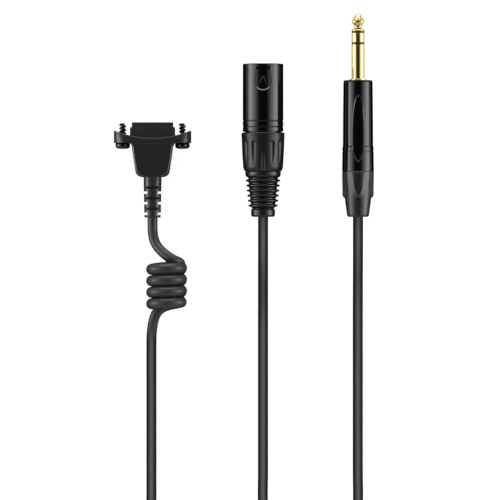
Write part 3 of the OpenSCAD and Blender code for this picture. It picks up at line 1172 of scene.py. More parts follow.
@dataclass
class Leads:
    """The three leads, one curve each; Y is from the line of the cable ends, in mm.

    Plump is how many times thicker a lead is than its diameter, as far as the third last point
    before the tied coil, whose turns touch at the plain diameter.
    """

    exit_y: float
    diameter: float = 4.63
    floor_z: float = 2.42
    plump: float = 1.03
    thin_from: int = 3
    curly: CurlyCoil = field(default_factory=CurlyCoil)
    store: StorageCoil = field(default_factory=StorageCoil)

    def curve(self, label: str, points: Sequence[Point],
              swell: Mapping[int, float]) -> tuple[bpy.types.Object, float]:
        """Draws a lead along its points.

        Args:
            label: The piece's name.
            points: Its route, in mm.
            swell: How many times thicker the lead is at some of the points.

        Returns:
            The curve, and its length in metres.
        """
        data = bpy.data.curves.new(label, "CURVE")
        data.dimensions = "3D"
        data.bevel_depth = self.diameter / 2 * MM
        data.bevel_resolution = 7
        data.resolution_u = 4
        data.use_fill_caps = True
        line = data.splines.new("BEZIER")
        line.bezier_points.add(len(points) - 1)
        spots = [Vector((x * MM, self.exit_y + y * MM, z * MM)) for x, y, z in points]
        for number, (knot, spot) in enumerate(zip(line.bezier_points, spots)):
            before, after = spots[max(number - 1, 0)], spots[min(number + 1, len(spots) - 1)]
            run = (after - before).normalized()
            knot.handle_left_type = knot.handle_right_type = "FREE"
            knot.co = spot
            knot.handle_left = spot - run * (spot - before).length / 3
            knot.handle_right = spot + run * (after - spot).length / 3
            knot.radius = swell.get(number, 1.0)
        piece = bpy.data.objects.new(label, data)
        bpy.context.scene.collection.objects.link(piece)
        return piece, line.calc_length()

    def declare(self, piece: bpy.types.Object, length: float, points: Sequence[Point]) -> None:
        """Logs a lead's name and length.

        Args:
            piece: The lead's curve.
            length: Its length, in metres.
            points: Its route, in mm.
        """
        x, _, z = points[0]
        x * MM
        z * MM
        LOG.info("%s is %.3f m long", piece.name, length)

    def headset(self) -> None:
        """Lays the lead from the headset plug through both coils to the splitter.
        """
        lz = self.floor_z
        start = [(-42.8, 24, 5.5), (-42.8, 16, 5.5), (-42.8, 10, 5.5), (-42.8, 4, 5.5),
                 (-42.8, -1, 5.5), (-42.8, -5.5, 5.5), (-42.5, -8.9, 5.9), (-42, -10.8, 6.3),
                 (-41.2, -12.7, 7.0), (-39.9, -14.6, 8.0), (-38.1, -16.5, 9.2),
                 (-35.9, -18.3, 10.3), (-34.0, -19.6, 10.7), (-32.0, -20.65, 10.16),
                 (-30.5, -21.4, 8.7), (-30.0, -22.0, 6.7), (-30.5, -22.5, 4.7),
                 (-32.0, -22.95, 3.24), (-34.2, -23.35, 2.72)]
        wound = self.curly.points()
        middle = [(-29.4, -39.8, 9.4), (-29.6, -40.0, 7.4), (-30.5, -40.2, 5.4),
                  (-32.1, -40.6, 3.9), (-34.4, -41.1, 2.9), (-36.7, -41.8, 2.6),
                  (-38.7, -42.8, 2.6), (-40.4, -44.3, 2.6), (-41.6, -46.3, 2.5),
                  (-42.4, -48.7, 2.4), (-42.9, -51.3, lz), (-43.3, -55, lz), (-43.4, -62, lz),
                  (-43.4, -78, lz), (-43.4, -97, lz), (-43.4, -116, lz), (-43.4, -135, lz),
                  (-43.4, -155, lz), (-43.4, -174, 2.45), (-43.45, -190, 3.1),
                  (-43.5, -202, 3.55)]
        end = [(21.2, -204, 11.6), (22.4, -199, 9.2), (24.6, -195.5, 6.8), (27.0, -192, 5.2),
               (28, -188.5, 4.7), (28, -185, 4.7)]
        route = [*start, *wound, *middle, *self.store.points(), *end]
        coil_end = len(start) + len(wound)
        swell = dict.fromkeys(range(coil_end + len(middle) - self.thin_from), self.plump)
        self.curly.thicken(swell, len(start), coil_end)
        piece, length = self.curve("headset_cable", route, swell)
        finish_piece(piece, "jacket_black", "lead_set", "headset_lead", "curly_coil", "main_lead",
                     "storage_coil", "coil_tail")
        self.declare(piece, length, route)

    def branch(self, label: str, node: str, route: Sequence[Point]) -> None:
        """Lays a lead from a plug to the splitter.

        Args:
            label: The piece's name.
            node: The CAD node that it stands for.
            route: Its route, in mm.
        """
        piece, length = self.curve(label, route, dict.fromkeys(range(len(route)), self.plump))
        finish_piece(piece, "jacket_black", "lead_set", node)
        self.declare(piece, length, route)

    def build(self, tied_with: Sequence[bpy.types.Object]) -> None:
        """Lays the three leads.

        Args:
            tied_with: The pieces on the headset lead; not used.
        """
        lz = self.floor_z
        self.headset()
        self.branch("xlr_cable", "xlr_lead", [
            (9, 28, 10.1), (9, 18, 10.1), (9, 8, 10.1), (9, -3, 10.1), (9, -12, 10.1),
            (9, -20, 9.5), (9, -28, 7.7), (9, -36, 5.4), (9, -44, 3.5), (9, -52, 2.6), (9, -60, lz),
            (9, -75, lz), (9, -90, lz), (9, -105, lz), (9, -120, lz), (9, -135, lz),
            (10.2, -142, lz), (14, -149, 2.5), (20, -155, 3.2), (24.2, -160, 4.3),
            (25.4, -164, 4.7), (25.4, -169, 4.7)])
        self.branch("jack_cable", "jack_lead", [
            (53.5, 25, 7.45), (53.5, 16, 7.45), (53.5, 8, 7.45), (53.5, -1, 7.45),
            (53.5, -8, 7.45), (53.5, -16, 7), (53.5, -24, 5.7), (53.5, -32, 4.1), (53.5, -40, 2.9),
            (53.5, -48, 2.4), (53.5, -56, lz), (53.5, -72, lz), (53.5, -90, lz), (53.5, -105, lz),
            (53.5, -120, lz), (53.5, -135, lz), (52, -142, lz), (47, -148.5, 2.5),
            (39.5, -154, 3.2), (33, -159.5, 4.3), (30.6, -164, 4.7), (30.6, -169, 4.7)])


@dataclass
class Splitter:
    """The moulded Y splitter, which widens from its neck to its two legs."""

    exit_y: float
    x: float = 28.0
    z: float = 4.7
    low: float = -188.0
    high: float = -166.0
    legs: float = 2.6
    radius: float = 4.6
    neck: float = 3.6
    bore: float = 2.36
    flare_from: float = 2.0
    flare_len: float = 12.0
    flare_steps: int = 8

    def build(self) -> bpy.types.Object:
        """Builds the splitter.

        Returns:
            The splitter.
        """
        axis = Axis(self.x * MM, self.exit_y, self.z * MM)
        wide, thick, neck = 2 * (self.legs + self.radius), 2 * self.radius, 2 * self.neck
        slices = [Slice.round(self.low + rise, neck - less, neck - less)
                  for rise, less in ((0, 1.2), (0.2, 0.4), (0.7, 0))]
        for step in range(self.flare_steps + 1):
            share = step / self.flare_steps
            ease = share ** 2 * (3 - 2 * share)
            across, deep = neck + (wide - neck) * ease, neck + (thick - neck) * ease
            slices.append(Slice.round(self.low + self.flare_from + self.flare_len * share,
                                      across, deep))
        slices += [Slice.round(self.high - 1, wide, thick),
                   Slice(self.high - 0.3, wide - 0.5, thick - 0.5, self.radius - 0.27),
                   Slice.round(self.high, wide - 1.4, thick - 1.4)]
        piece = Bench.skin("splitter_body", axis, slices, 10)
        bores = []
        for leg in (-self.legs, self.legs):
            bores.append(Bench.rod("bore", axis.spot(self.high - 6, 0, leg),
                                   axis.spot(self.high + 2, 0, leg), self.bore))
        bores.append(Bench.rod("bore", axis.spot(self.low - 2), axis.spot(self.low + 5), self.bore))
        Bench.cut(piece, bores)
        Bench.smooth(piece)
        return finish_piece(piece, "moulded_black", "lead_set", "y_splitter")


@dataclass
class CableTie:
    """The hook-and-loop strap round the storage coil; start and sweep are degrees round it."""

    exit_y: float
    thick: float = 1.1
    slack: float = 0.1
    steps: int = 16
    start: float = 209.0
    sweep: float = 32.0
    corner: float = 2.35

    def build(self, coil: StorageCoil) -> bpy.types.Object:
        """Builds the strap.

        Args:
            coil: The coil that it holds.

        Returns:
            The strap.
        """
        inner = 3 * coil.step + self.slack
        band = self.loop(coil, inner, inner + 2 * self.thick)
        Bench.soften(band, 0.2, angle=50)
        Bench.smooth(band, 50)
        band.name = band.data.name = "coil_strap"
        return finish_piece(band, "tie_black", "lead_set", "cable_tie")

    def loop(self, coil: StorageCoil, inner: float, outer: float) -> bpy.types.Object:
        """Spins a square ring along the coil.

        Args:
            coil: The coil that it goes round.
            inner: Its width inside, in mm.
            outer: Its width outside, in mm.

        Returns:
            The closed ring.
        """
        middle = Vector((coil.x * MM, self.exit_y + coil.y * MM, 0))
        turn = math.radians(self.start)
        rings = []
        for width in (outer, inner):
            shape = Slice(0, width, width, self.corner + (width - inner) / 2)
            spots = []
            for side, up in shape.outline(4):
                away = coil.middle + side
                spots.append(middle + MM * Vector((away * math.cos(turn), away * math.sin(turn),
                                                   coil.low + coil.step + up)))
            rings.append(Bench.chain("strap", [*spots, spots[0]]))
        piece = Bench.join(rings)
        with Bench.edit(piece, Pick.EDGES):
            bpy.ops.mesh.remove_doubles(threshold=MERGE)
            bpy.ops.mesh.bridge_edge_loops()
            bpy.ops.mesh.select_all(action="SELECT")
            bpy.ops.mesh.spin(steps=self.steps, angle=math.radians(self.sweep), center=middle,
                              axis=(0, 0, 1))
        return Bench.closed(piece)


# ---- Headset plug --------------------------------------------------------------------

@dataclass
class HeadsetPlug:
    """The plug with two captive screws, a contact block and a slotted strain relief.

    The flange's face is dished by an arc as deep as dip. The block sits in a pocket down to seat,
    and its two tiers end at step and at top. Edges shorter than short_edge are taken out before
    the housing is rounded. Heights are from the cable end, as in all plugs.
    """

    exit_y: float
    flange_low: float = 34.6
    flange_high: float = 40.4
    flange_wide: float = 36.3
    flange_thick: float = 11.0
    dip: float = 3.5
    rim: float = 0.5
    short_edge: float = 0.06
    seat: float = 36.2
    step: float = 42.0
    top: float = 44.3
    column_pitch: float = 4.2
    row_up: float = 1.6
    hole_r: float = 0.9
    screw_gap: float = 28.0
    relief_len: float = 18.6
    slots: int = 3
    slot: float = 1.15
    slot_pitch: float = 4.94
    lead_bore: float = 2.42
    pitch: float = 1.62
    axis: Axis = field(init=False)

    def __post_init__(self) -> None:
        """Finds the plug's axis."""
        self.axis = Axis.of("headset_strain_relief", self.exit_y)

    def side_axis(self, side: int) -> Axis:
        """The axis of the screw on one side."""
        return Axis(self.axis.x + side * self.screw_gap / 2 * MM, self.exit_y, self.axis.z)

    def housing(self) -> None:
        """Builds the moulded body with its dished flange."""
        axis = self.axis
        body = Bench.skin("headset_body", axis, [Slice(*sizes) for sizes in (
            (self.relief_len, 8.5, 8.4, 4.15), (18.7, 10.6, 8.6, 4.0), (18.9, 12.1, 8.75, 3.9),
            (19.2, 13.3, 8.85, 3.6), (19.6, 14.3, 8.95, 3.0), (20.1, 15.1, 9.05, 2.4),
            (20.8, 15.75, 9.15, 1.9), (21.7, 16.15, 9.2, 1.5), (23.2, 16.55, 9.25, 1.2),
            (27.0, 17.65, 9.5, 1.1), (30.3, 18.65, 9.8, 1.1), (32.6, 19.1, 9.95, 1.1),
            (33.4, 19.5, 10.15, 1.2), (34.0, 20.2, 10.4, 1.3), (34.5, 21.2, 10.7, 1.5),
            (35.2, 22.6, 10.96, 1.7), (36, 22.8, 10.8, 1.8))], 8)
        flange = Bench.skin("flange", axis, [
            Slice.round(height, self.flange_wide, self.flange_thick - thin)
            for height, thin in ((self.flange_low, 0.0), (35.4, 0.0), (36.2, 0.1), (37.2, 0.4),
                                 (38.2, 0.9), (39.2, 1.5), (self.flange_high, 2.3))], 16)
        half_chord = self.flange_wide / 2 - self.rim
        arc_r = (half_chord ** 2 + self.dip ** 2) / (2 * self.dip)
        centre = self.flange_high - self.dip + arc_r
        Bench.cut(flange, [Bench.rod("dish", axis.spot(centre, -20), axis.spot(centre, 20),
                                     arc_r, 256)])
        Bench.cut(body, [flange], Cut.JOIN)
        Bench.cut(body, [Bench.skin("hollow", axis, [
            Slice(22, 12.4, 6.2, 1.5), Slice(self.seat + 0.1, 16.3, 7.4, 1.5)])])
        Bench.cut(body, [Bench.skin("pocket", axis, [
            Slice(height, 21.4, 8.9, 1.2) for height in (self.seat, 46)])])
        cutters = [Bench.rod("neck", axis.spot(17), axis.spot(22.7), 2.9)]
        for side in (-1, 1):
            cutters.append(Bench.turned("ear_hole", self.side_axis(side), [
                (33, 0), (33, 1.95), (35.8, 1.95), (35.8, 2.6), (46, 2.6), (46, 0)], steps=48))
        Bench.cut(body, cutters)
        with Bench.edit(body):
            bpy.ops.mesh.remove_doubles(threshold=self.short_edge * MM)
        Bench.soften(body, 0.24, 3, 42)
        Bench.smooth(body)
        finish_piece(body, "moulded_black", "lead_set", "headset_housing")

    def block(self) -> None:
        """Builds the stepped contact block with its eight holes."""
        axis = self.axis
        piece = Bench.skin("headset_block", axis, [
            Slice(31, 14.6, 6, 1), Slice(self.seat + 0.02, 14.6, 6, 1)], 5)
        for low, high, width, thick, corner in ((self.seat + 0.02, self.step, 21.1, 8.6, 1.0),
                                                (self.step - 1, self.top, 19.4, 7.0, 0.8)):
            tier = Bench.skin("tier", axis, [
                Slice(low, width, thick, corner), Slice(high, width, thick, corner)], 6)
            Bench.cut(piece, [tier], Cut.JOIN)
        holes = []
        for column in range(4):
            side = (column - 1.5) * self.column_pitch
            for up in (-self.row_up, self.row_up):
                holes.append(Bench.rod("hole", axis.spot(30, up, side), axis.spot(46, up, side),
                                       self.hole_r, 32))
        Bench.cut(piece, holes)
        Bench.soften(piece, 0.25)
        Bench.smooth(piece)
        finish_piece(piece, "block_black", "lead_set", "headset_contact_block")

    def thread(self, axis: Axis, low: float, high: float) -> bpy.types.Object:
        """Winds the thread's ridge with a Screw modifier.

        Args:
            axis: The screw's axis.
            low: Height where it starts, in mm.
            high: Height where it ends.

        Returns:
            The ridge, closed at both ends.
        """
        zero = Axis(0, 0, 0)
        ridge = Bench.chain("thread", [zero.spot(height, radius) for height, radius in (
            (-0.66, 0.9), (-0.24, 1.62), (-0.15, 1.74), (0.15, 1.74), (0.24, 1.62), (0.66, 0.9),
            (-0.66, 0.9))])
        Bench.closed(ridge)
        wind = ridge.modifiers.new("wind", "SCREW")
        wind.axis = "Y"
        turns = (high - low) / self.pitch
        wind.angle = math.tau * turns
        wind.screw_offset = (high - low) * MM
        wind.steps = wind.render_steps = int(40 * turns)
        wind.use_merge_vertices = False
        Bench.only(ridge)
        bpy.ops.object.modifier_apply(modifier=wind.name)
        with Bench.edit(ridge, Pick.EDGES):
            bpy.ops.transform.translate(value=axis.spot(low))
            bpy.ops.mesh.select_all(action="DESELECT")
            bpy.ops.mesh.select_non_manifold()
            bpy.ops.mesh.fill_holes(sides=0)
        return Bench.closed(ridge)

    def screw(self, side: int, label: str) -> None:
        """Builds a captive screw.

        Args:
            side: -1 for the left one and 1 for the right one.
            label: The CAD body's and node's name.
        """
        axis = self.side_axis(side)
        piece = Bench.turned(f"{label}_piece", axis, [
            (31.9, 0), (31.9, 1.3), (31.96, 2.0), (32.12, 2.6), (32.42, 3.06), (32.8, 3.32),
            (33.25, 3.42), (34.2, 3.42), (34.48, 3.27), (34.58, 2.9), (34.58, 1.45), (37.35, 1.45),
            (37.35, 1.05), (43.6, 1.05), (43.78, 0.98), (43.9, 0.8), (43.9, 0)])
        Bench.cut(piece, [Bench.brick("slot", axis.spot(31, -0.4, -4), axis.spot(32.6, 0.4, 4))])
        Bench.cut(piece, [self.thread(axis, 38.75, 43.4)], Cut.JOIN)
        Bench.smooth(piece, 30)
        finish_piece(piece, "screw_black", label, label)

    def relief(self) -> None:
        """Builds the slotted strain relief."""
        axis = self.axis
        neck = self.lead_bore + 0.51
        piece = Bench.turned("relief", axis, [
            (-0.3, self.lead_bore), (-0.3, 3.5), (-0.2, 3.7), (0.05, 3.84), (1.2, 3.9),
            (13.8, 4.15), (self.relief_len - 0.02, 4.2), (self.relief_len - 0.02, neck),
            (22.2, neck), (22.2, self.lead_bore)], hollow=True)
        anchor = Bench.skin("anchor", axis, [
            Slice(height, 10, 5.6, 1.5) for height in (22.05, 23.65)])
        Bench.cut(anchor, [Bench.rod("bore", axis.spot(20), axis.spot(25), self.lead_bore)])
        Bench.cut(piece, [anchor], Cut.JOIN)
        for turned, first, web in ((False, 0.9, 2.4), (True, 3.25, 2.75)):
            for number in range(self.slots):
                low = first + self.slot_pitch * number
                slots = []
                for near, far in ((web, 6.0), (-6.0, -web)):
                    across, up = ((-6, 6), (near, far)) if turned else ((near, far), (-6, 6))
                    slots.append(Bench.brick("slot", axis.spot(low, up[0], across[0]),
                                             axis.spot(low + self.slot, up[1], across[1])))
                Bench.cut(piece, slots)
        Bench.soften(piece, 0.14, clamp=True)
        Bench.smooth(piece)
        finish_piece(piece, "soft_black", "lead_set", "headset_strain_relief")

    def build(self) -> None:
        """Builds the plug's pieces."""
        self.housing()
        self.block()
        self.screw(-1, "headset_screw_left")
        self.screw(1, "headset_screw_right")
        self.relief()


# ---- XLR plug ------------------------------------------------------------------------

@dataclass
class XlrPlug:
    """The three-pin plug: shell, insert, grip collar and ribbed boot.

    The latch recess runs from latch_high back to a bow, whose middle is at latch_round. Flutes are
    cut from both sides of the collar, at angles in degrees.
    """

    exit_y: float
    shell_r: float = 9.5
    mouth_r: float = 8.1
    tail_r: float = 8.5
    latch_high: float = 70.1
    latch_round: float = 62.95
    latch_bow: float = 2.11
    latch_half: float = 3.13
    latch_floor_r: float = 9.12
    pins: tuple[Spot, ...] = ((-3.8, 1.3), (3.8, 1.3), (0, -4))
    flutes: int = 6
    flute_r: float = 2.2
    flute_at: float = 11.62
    flute_top: float = 34.2
    flute_first: float = -64.0
    flute_pitch: float = 25.6
    ribs: int = 6
    first_rib: float = 5.25
    rib_pitch: float = 2.34
    rib_growth: float = 0.24
    axis: Axis = field(init=False)

    def __post_init__(self) -> None:
        """Finds the plug's axis."""
        self.axis = Axis.of("xlr_collar", self.exit_y)

    def shell(self) -> None:
        """Builds the shell with its grooves, latch recess, slot and latch arrow."""
        axis, r, tail = self.axis, self.shell_r, self.tail_r
        thread = [(26.2 + 1.5 * number + rise, tail - depth) for number in range(8)
                  for rise, depth in ((0, 0.3), (0.55, 0), (0.85, 0), (1.4, 0.3))]
        grooves = [(low + rise, r - depth) for low in (41.75, 44.55) for rise, depth in (
            (-0.1, 0), (0, 0.02), (0.42, 0.24), (0.52, 0.26), (0.64, 0.26), (0.68, 0.04),
            (0.76, 0))]
        piece = Bench.turned("xlr_body", axis, [
            (25.5, 7.3), (25.5, tail - 0.3), (25.8, tail - 0.3), *thread, (38.6, tail),
            (39.8, tail), (39.8, 9.1), (39.86, 9.3), (40.02, 9.44), (40.25, r), *grooves,
            (71.15, r), (71.4, 9.43), (71.55, 9.27), (71.6, 9.05), (71.6, 8.45), (71.52, 8.22),
            (71.3, self.mouth_r), (46, self.mouth_r), (46, 7.3)], hollow=True, steps=128)
        outline = [(self.latch_high, -self.latch_half)]
        for angle in range(-90, 91, 6):
            turn = math.radians(angle)
            outline.append((self.latch_round - self.latch_bow * math.cos(turn),
                            self.latch_half * math.sin(turn)))
        outline.append((self.latch_high, self.latch_half))
        recess = Bench.plate("recess", [axis.spot(height, 7.95, side) for height, side in outline],
                             Vector((0, 0, 2.05 * MM)), Vector((1.777, 1.263, 1)),
                             axis.spot(self.latch_high))
        Bench.cut(recess, [Bench.rod("floor", axis.spot(50), axis.spot(80), self.latch_floor_r,
                                     128)])
        Bench.cut(piece, [recess])
        Bench.cut(piece, [Bench.brick("slot", axis.spot(68.9, 5, -3.6),
                                      axis.spot(self.latch_high, 12, 3.6))])
        for side in (-1, 1):
            arm = Bench.rod("arrow", axis.spot(65.8, 9.0, 0.2 * side),
                            axis.spot(62.7, 8.92, 1.45 * side), 0.36, 20)
            Bench.cut(piece, [arm], Cut.JOIN)
        Bench.smooth(piece, 32)
        finish_piece(piece, "shell_black", "lead_set", "xlr_shell")

    def insert(self) -> None:
        """Builds the insert that holds the pins."""
        axis = self.axis
        outer = self.mouth_r - 0.03
        piece = Bench.turned("xlr_core", axis, [
            (46.1, 0), (46.1, outer), (56.1, outer), (56.5, 7.75), (56.6, 7.5), (56.6, 6.9),
            (56.35, 6.7), (56.35, 0)])
        for side, up in self.pins:
            boss = Bench.turned("boss", Axis(axis.x + side * MM, axis.low, axis.z + up * MM), [
                (55, 0), (55, 2.3), (56.5, 2.3), (56.7, 2.1), (56.7, 0)], steps=48)
            Bench.cut(piece, [boss], Cut.JOIN)
        Bench.cut(piece, [Bench.rod("bore", axis.spot(45, up, side), axis.spot(60, up, side),
                                    1.2, 40) for side, up in self.pins])
        Bench.cut(piece, [Bench.brick("spring_slot", axis.spot(45.1, -10.2, -1.6),
                                      axis.spot(53.1, -7.2, 1.6)),
                          Bench.brick("key", axis.spot(55.4, 5.6, -0.6), axis.spot(58, 8.6, 0.6))])
        Bench.soften(piece, 0.12)
        Bench.smooth(piece)
        finish_piece(piece, "insert_black", "lead_set", "xlr_insert")

    def collar(self) -> None:
        """Builds the grip collar with its finger flutes and two sighting grooves."""
        axis = self.axis
        bore = self.tail_r + 0.05
        piece = Bench.turned("grip_collar", axis, [
            (21.3, 7.3), (21.3, 8.3), (21.4, 8.5), (21.8, 8.85), (22.3, 9.05), (22.8, 9.22),
            (23.3, 9.34), (25.1, 9.44), (27, 9.58), (29.4, 9.74), (32.2, 9.87), (36.2, 9.98),
            (37.8, 10.08), (38.8, 10.08), (39.15, 10.02), (39.36, 9.85), (39.45, 9.65),
            (39.45, bore + 0.4), (39.2, bore), (24.6, bore), (24.6, 8), (22.4, 8), (22.4, 7.3)],
            hollow=True, steps=144)
        cap = [(self.flute_top + self.flute_r * math.sin(math.radians(angle)),
                self.flute_r * math.cos(math.radians(angle))) for angle in range(0, 90, 10)]
        cutters = []
        for back in (0, 180):
            for number in range(self.flutes):
                turn = math.radians(back + self.flute_first + self.flute_pitch * number)
                place = Axis(axis.x + self.flute_at * math.sin(turn + math.pi / 2) * MM, axis.low,
                             axis.z + self.flute_at * math.cos(turn + math.pi / 2) * MM)
                cutters.append(Bench.turned("flute", place, [
                    (20, 0), (20, self.flute_r), *cap, (self.flute_top + self.flute_r, 0)],
                    steps=40))
        for face in (1, -1):
            wedge = [axis.spot(20.5, face * up, side) for up, side in (
                (9.9, -1.9), (8.5, -0.42), (8.5, 0.42), (9.9, 1.9))]
            cutters.append(Bench.plate("groove", wedge, Vector((0, 10.2 * MM, face * 1.3 * MM))))
        Bench.cut(piece, cutters)
        Bench.soften(piece, 0.1, angle=24)
        Bench.smooth(piece, 30)
        finish_piece(piece, "collar_black", "xlr_collar", "xlr_collar")

    def boot(self) -> None:
        """Builds the ribbed boot."""
        outline = [(0, 2.615), (0, 4.6), (0.1, 4.98), (0.35, 5.38), (0.7, 5.57), (1.1, 5.64),
                   (3.0, 5.64), (3.3, 5.58), (3.55, 5.42), (3.8, 5.12), (4.0, 5.08), (4.2, 5.2)]
        for number in range(self.ribs):
            at = self.first_rib + self.rib_pitch * number
            crest, valley = 6.9 + self.rib_growth * number, 5.68 + self.rib_growth * number
            outline += [(at - 0.78, valley), (at - 0.55, valley + 0.25), (at - 0.4, crest - 0.14),
                        (at - 0.28, crest), (at + 0.12, crest), (at + 0.26, crest - 0.05),
                        (at + 0.42, crest - 0.22), (at + 0.62, valley + 0.3),
                        (at + 0.85, valley + 0.05), (at + 1.1, valley + 0.02),
                        (at + 1.3, valley + 0.1)]
        outline[-2:] = [(18.2, 6.95), (18.4, 7.1)]  # The last valley runs out into the skirt.
        outline += [(18.55, 7.4), (18.75, 7.88), (19.05, 8.12), (19.5, 8.22), (20.0, 8.3),
                    (20.8, 8.38), (21.05, 8.34), (21.2, 8.2), (21.24, 7.9), (21.24, 7.25),
                    (22.45, 7.25), (22.45, 7.9), (24.5, 7.9), (24.5, 6.2), (9.5, 4.2), (9.5, 2.615)]
        piece = Bench.turned("ribbed_boot", self.axis, outline, hollow=True, steps=112)
        Bench.smooth(piece, 38)
        finish_piece(piece, "boot_black", "xlr_boot", "xlr_boot")

    def build(self) -> None:
        """Builds the plug's pieces."""
        self.shell()
        self.insert()
        self.collar()
        self.boot()


# ---- Jack plug -----------------------------------------------------------------------

@dataclass
class JackPlug:
    """The 6.35 mm plug: finger, metal handle and gland nut.

    Each side of the handle has a recess, whose outline is drawn in by recess_len and recess_half
    at its floor and flares to the surface. Each petal of the nut is cut by a prism from petal_in
    out, petal_deep deep, whose far end leans in and rises by the shares given; petal_half is half
    its width, in degrees.
    """

    exit_y: float
    handle_r: float = 7.45
    finger_r: float = 3.175
    tip: float = 95.5
    tip_len: float = 8.3
    gap: float = 1.15
    pole: float = 4.2
    seam: float = 21.15
    recess_mid: float = 42.0
    recess_len: float = 0.885
    recess_half: float = 0.72
    recess_flare: Point = (2.1, 1.19, 1)
    petal_r: float = 7.35
    petal_in: float = 5.25
    petal_deep: float = 2.35
    petal_low: float = 10.2
    petal_side: float = 9.8
    petal_top: float = 22.0
    petal_half: float = 28.5
    petal_lean: float = 0.62
    petal_rise: float = 0.285
    axis: Axis = field(init=False)

    def __post_init__(self) -> None:
        """Finds the plug's axis."""
        self.axis = Axis.of("jack_gland_nut", self.exit_y)

    def finger(self) -> None:
        """Builds the tip, the ring, the sleeve and the two insulators."""
        axis, t = self.axis, self.tip
        neck = t - self.tip_len
        tip = Bench.turned("tip_pole", axis, [
            (58, 0), (58, 0.9), (neck, 0.9), (neck, 3.05), (t - 8.22, 3.12), (t - 8.05, 3.14),
            (t - 7.85, 2.98), (t - 7.1, 2.02), (t - 6.85, 1.83), (t - 6.6, 1.78), (t - 6.3, 1.78),
            (t - 6.1, 1.85), (t - 5.8, 2.05), (t - 4.8, 2.86), (t - 4.5, 3.03), (t - 4.25, 3.11),
            (t - 4.0, 3.11), (t - 3.75, 3.03), (t - 3.3, 2.82), (t - 1.7, 1.95), (t - 1.1, 1.62),
            (t - 0.6, 1.27), (t - 0.3, 0.97), (t - 0.12, 0.68), (t - 0.03, 0.4), (t, 0.2), (t, 0)])
        high = neck - SLIVER
        pieces = [(tip, "finger_gold", "jack_tip")]
        for label, slot, length, outer, back, core, bore in (
                ("jack_tip_insulator", "finger_insulator", self.gap, 3.08, 59, 1.3, 0.92),
                ("jack_ring", "finger_gold", self.pole, 3.14, 60, 1.75, 1.32),
                ("jack_ring_insulator", "finger_insulator", self.gap, 3.08, 61, 2.2, 1.77)):
            low = high - length
            pole = Bench.turned(f"{label}_piece", axis, [
                (back, bore), (back, core), (low, core), (low, outer - 0.06), (low + 0.06, outer),
                (high - 0.06, outer), (high, outer - 0.06), (high, bore)], hollow=True)
            pieces.append((pole, slot, label))
            high = low - SLIVER
        sleeve = Bench.turned("sleeve_pole", axis, [
            (57.6, 2.22), (57.6, 5.3), (62.3, 5.3), (62.3, 3.8), (64.05, 3.8), (64.05, 4.15),
            (64.1, 4.2), (64.38, 4.2), (64.5, 4.08), (64.5, self.finger_r + 0.1),
            (64.6, self.finger_r), (high - 0.06, self.finger_r), (high, self.finger_r - 0.06),
            (high, 2.22)], hollow=True)
        strip = Bench.turned("strip", axis, [
            (33, 4.3), (33, 4.9), (57.7, 4.9), (57.7, 4.3)], hollow=True)
        Bench.cut(strip, [Bench.brick("strip_side", axis.spot(38, -6, -6), axis.spot(57.5, 3, 6)),
                          Bench.brick("clamp_gap", axis.spot(32, 2.5, -5), axis.spot(37.9, 9, 5))])
        Bench.cut(sleeve, [strip], Cut.JOIN)
        pieces.append((sleeve, "finger_gold", "jack_sleeve"))
        for piece, slot, node in pieces:
            Bench.smooth(piece, 28)
            finish_piece(piece, slot, "lead_set", node)

    def handle(self) -> None:
        """Builds the handle with its ring line and its long recess above and below."""
        axis = self.axis
        piece = Bench.turned("jack_body", axis, [
            (21.2, 6.05), (21.2, 7.22), (21.26, 7.36), (21.4, 7.45), (21.6, self.handle_r),
            (24.8, 7.44), (26.8, 7.37), (30.38, 7.33), (30.46, 7.28), (30.52, 7.18), (30.72, 7.18),
            (30.78, 7.26), (30.88, 7.31), (32.4, 7.29), (32.7, 7.24), (33.2, 7.12), (33.6, 7.1),
            (42, 7.06), (51.2, 7.0), (62.8, 6.87), (63.4, 6.81), (63.75, 6.67), (63.93, 6.47),
            (64, 6.25), (64, 3.85), (62.4, 3.85), (62.4, 5.4), (28, 5.4), (28, 6.05)],
            hollow=True, steps=128)
        side = ((26.0, 0.0), (26.4, 0.35), (27.2, 0.85), (28.2, 1.35), (29.5, 1.9), (31.0, 2.35),
                (33.0, 2.7), (36.0, 2.9), (40.0, 2.95), (44.0, 2.85), (48.0, 2.6), (51.5, 2.2),
                (54.2, 1.65), (56.0, 1.1), (56.9, 0.6), (57.2, 0.0))
        outline = [(self.recess_mid + (height - self.recess_mid) * self.recess_len,
                    across * self.recess_half) for height, across in side]
        outline += [(height, -across) for height, across in outline[-2:0:-1]]
        recesses = []
        for face in (1, -1):
            recess = Bench.plate(
                "recess", [axis.spot(height, 5.9 * face, across) for height, across in outline],
                Vector((0, 0, 1.6 * face * MM)), Vector(self.recess_flare),
                axis.spot(self.recess_mid))
            Bench.cut(recess, [Bench.rod("floor", axis.spot(20, -2.98 * face),
                                         axis.spot(66, -3.75 * face), 10, 192)])
            recesses.append(recess)
        Bench.cut(piece, recesses)
        Bench.smooth(piece, 18)
        finish_piece(piece, "shell_black", "lead_set", "jack_handle")

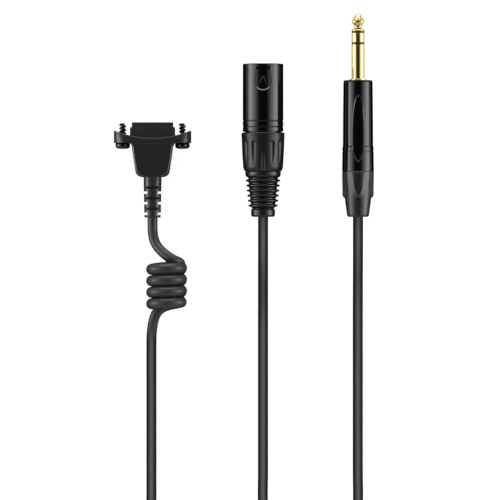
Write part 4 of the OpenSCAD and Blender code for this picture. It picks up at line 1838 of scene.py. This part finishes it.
    def nut(self) -> None:
        """Builds the gland nut: a cone under four petals."""
        axis = self.axis
        cone = Bench.turned("gland_nut", axis, [
            (0, 2.615), (0, 4.35), (0.08, 4.68), (0.3, 4.94), (0.7, 5.1), (1.2, 5.2), (2.1, 5.33),
            (4.2, 5.6), (6.0, 5.87), (9.9, 6.34), (19.8, 7.27), (21.0, 7.32), (self.seam, 7.15),
            (self.seam, 6), (27, 6), (27.2, 5.8), (27.2, 4.8), (10.9, 4.8), (7.9, 3.7),
            (6.5, 2.615)], hollow=True, steps=112)
        sleeve = Bench.turned("petal_ring", axis, [
            (9, 5.9), (9, 7.3), (10, 7.33), (14, 7.35), (20.7, 7.45), (20.95, 7.43),
            (self.seam, 7.3), (self.seam, 5.9)], hollow=True, steps=128)
        prisms = []
        for quarter in range(4):
            turn = math.radians(90 * quarter)
            out = Vector((math.sin(turn), 0, math.cos(turn)))
            spots = [axis.spot(height, self.petal_in * out.z - side * out.x,
                               self.petal_in * out.x + side * out.z)
                     for side, height in self.petal()]
            flare = Vector((1 - self.petal_lean * abs(out.z), 1 - self.petal_rise,
                            1 - self.petal_lean * abs(out.x)))
            prisms.append(Bench.plate("petal", spots, out * self.petal_deep * MM, flare,
                                      axis.spot(self.petal_top)))
        Bench.cut(sleeve, prisms, Cut.COMMON)
        Bench.cut(cone, [sleeve], Cut.JOIN)
        Bench.smooth(cone, 22)
        finish_piece(cone, "collar_black", "jack_gland_nut", "jack_gland_nut")
        WARDROBE.dress(cone, "nut_black")  # Paler than the grip collar, whose slot it shares.

    def petal(self) -> list[Spot]:
        """The outline of a petal's prism at its inner end.

        Returns:
            The points from the petal's tip up one side and down the other, as side and height.
        """
        edge, steps = [], 10
        for step in range(steps + 1):
            share = (step / steps) ** 1.6
            half = math.radians(self.petal_half * share ** 0.6)
            out = (self.petal_r * math.cos(half) - self.petal_in) / self.petal_deep
            drop = self.petal_top - self.petal_low - self.petal_side * share
            edge.append((self.petal_r * math.sin(half) / (1 - self.petal_lean * out),
                         self.petal_top - drop / (1 - self.petal_rise * out)))
        wide = edge[-1][0]
        return [*edge, (wide, self.petal_top), (-wide, self.petal_top),
                *[(-side, height) for side, height in reversed(edge[1:])]]

    def build(self) -> None:
        """Builds the plug's pieces."""
        self.finger()
        self.handle()
        self.nut()


def dress_nodes() -> None:
    """Gives every CAD node the finish of its own slot."""
    for part in frame["record"]["subparts"]:
        WARDROBE.dress(frame["nodes"][part["node"]], part["material_slot"])


def main() -> None:
    """Builds the studio, the leads and the plugs, and reports each piece."""
    logging.basicConfig(level=logging.INFO, format="%(message)s")
    exit_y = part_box("headset_strain_relief")[0].y
    dress_nodes()
    StudioCamera().build()
    leads = Leads(exit_y)
    on_lead = [Splitter(exit_y).build(), CableTie(exit_y).build(leads.store)]
    leads.build(on_lead)
    HeadsetPlug(exit_y).build()
    XlrPlug(exit_y).build()
    JackPlug(exit_y).build()
    Studio().build()


if __name__ == "__main__":
    main()
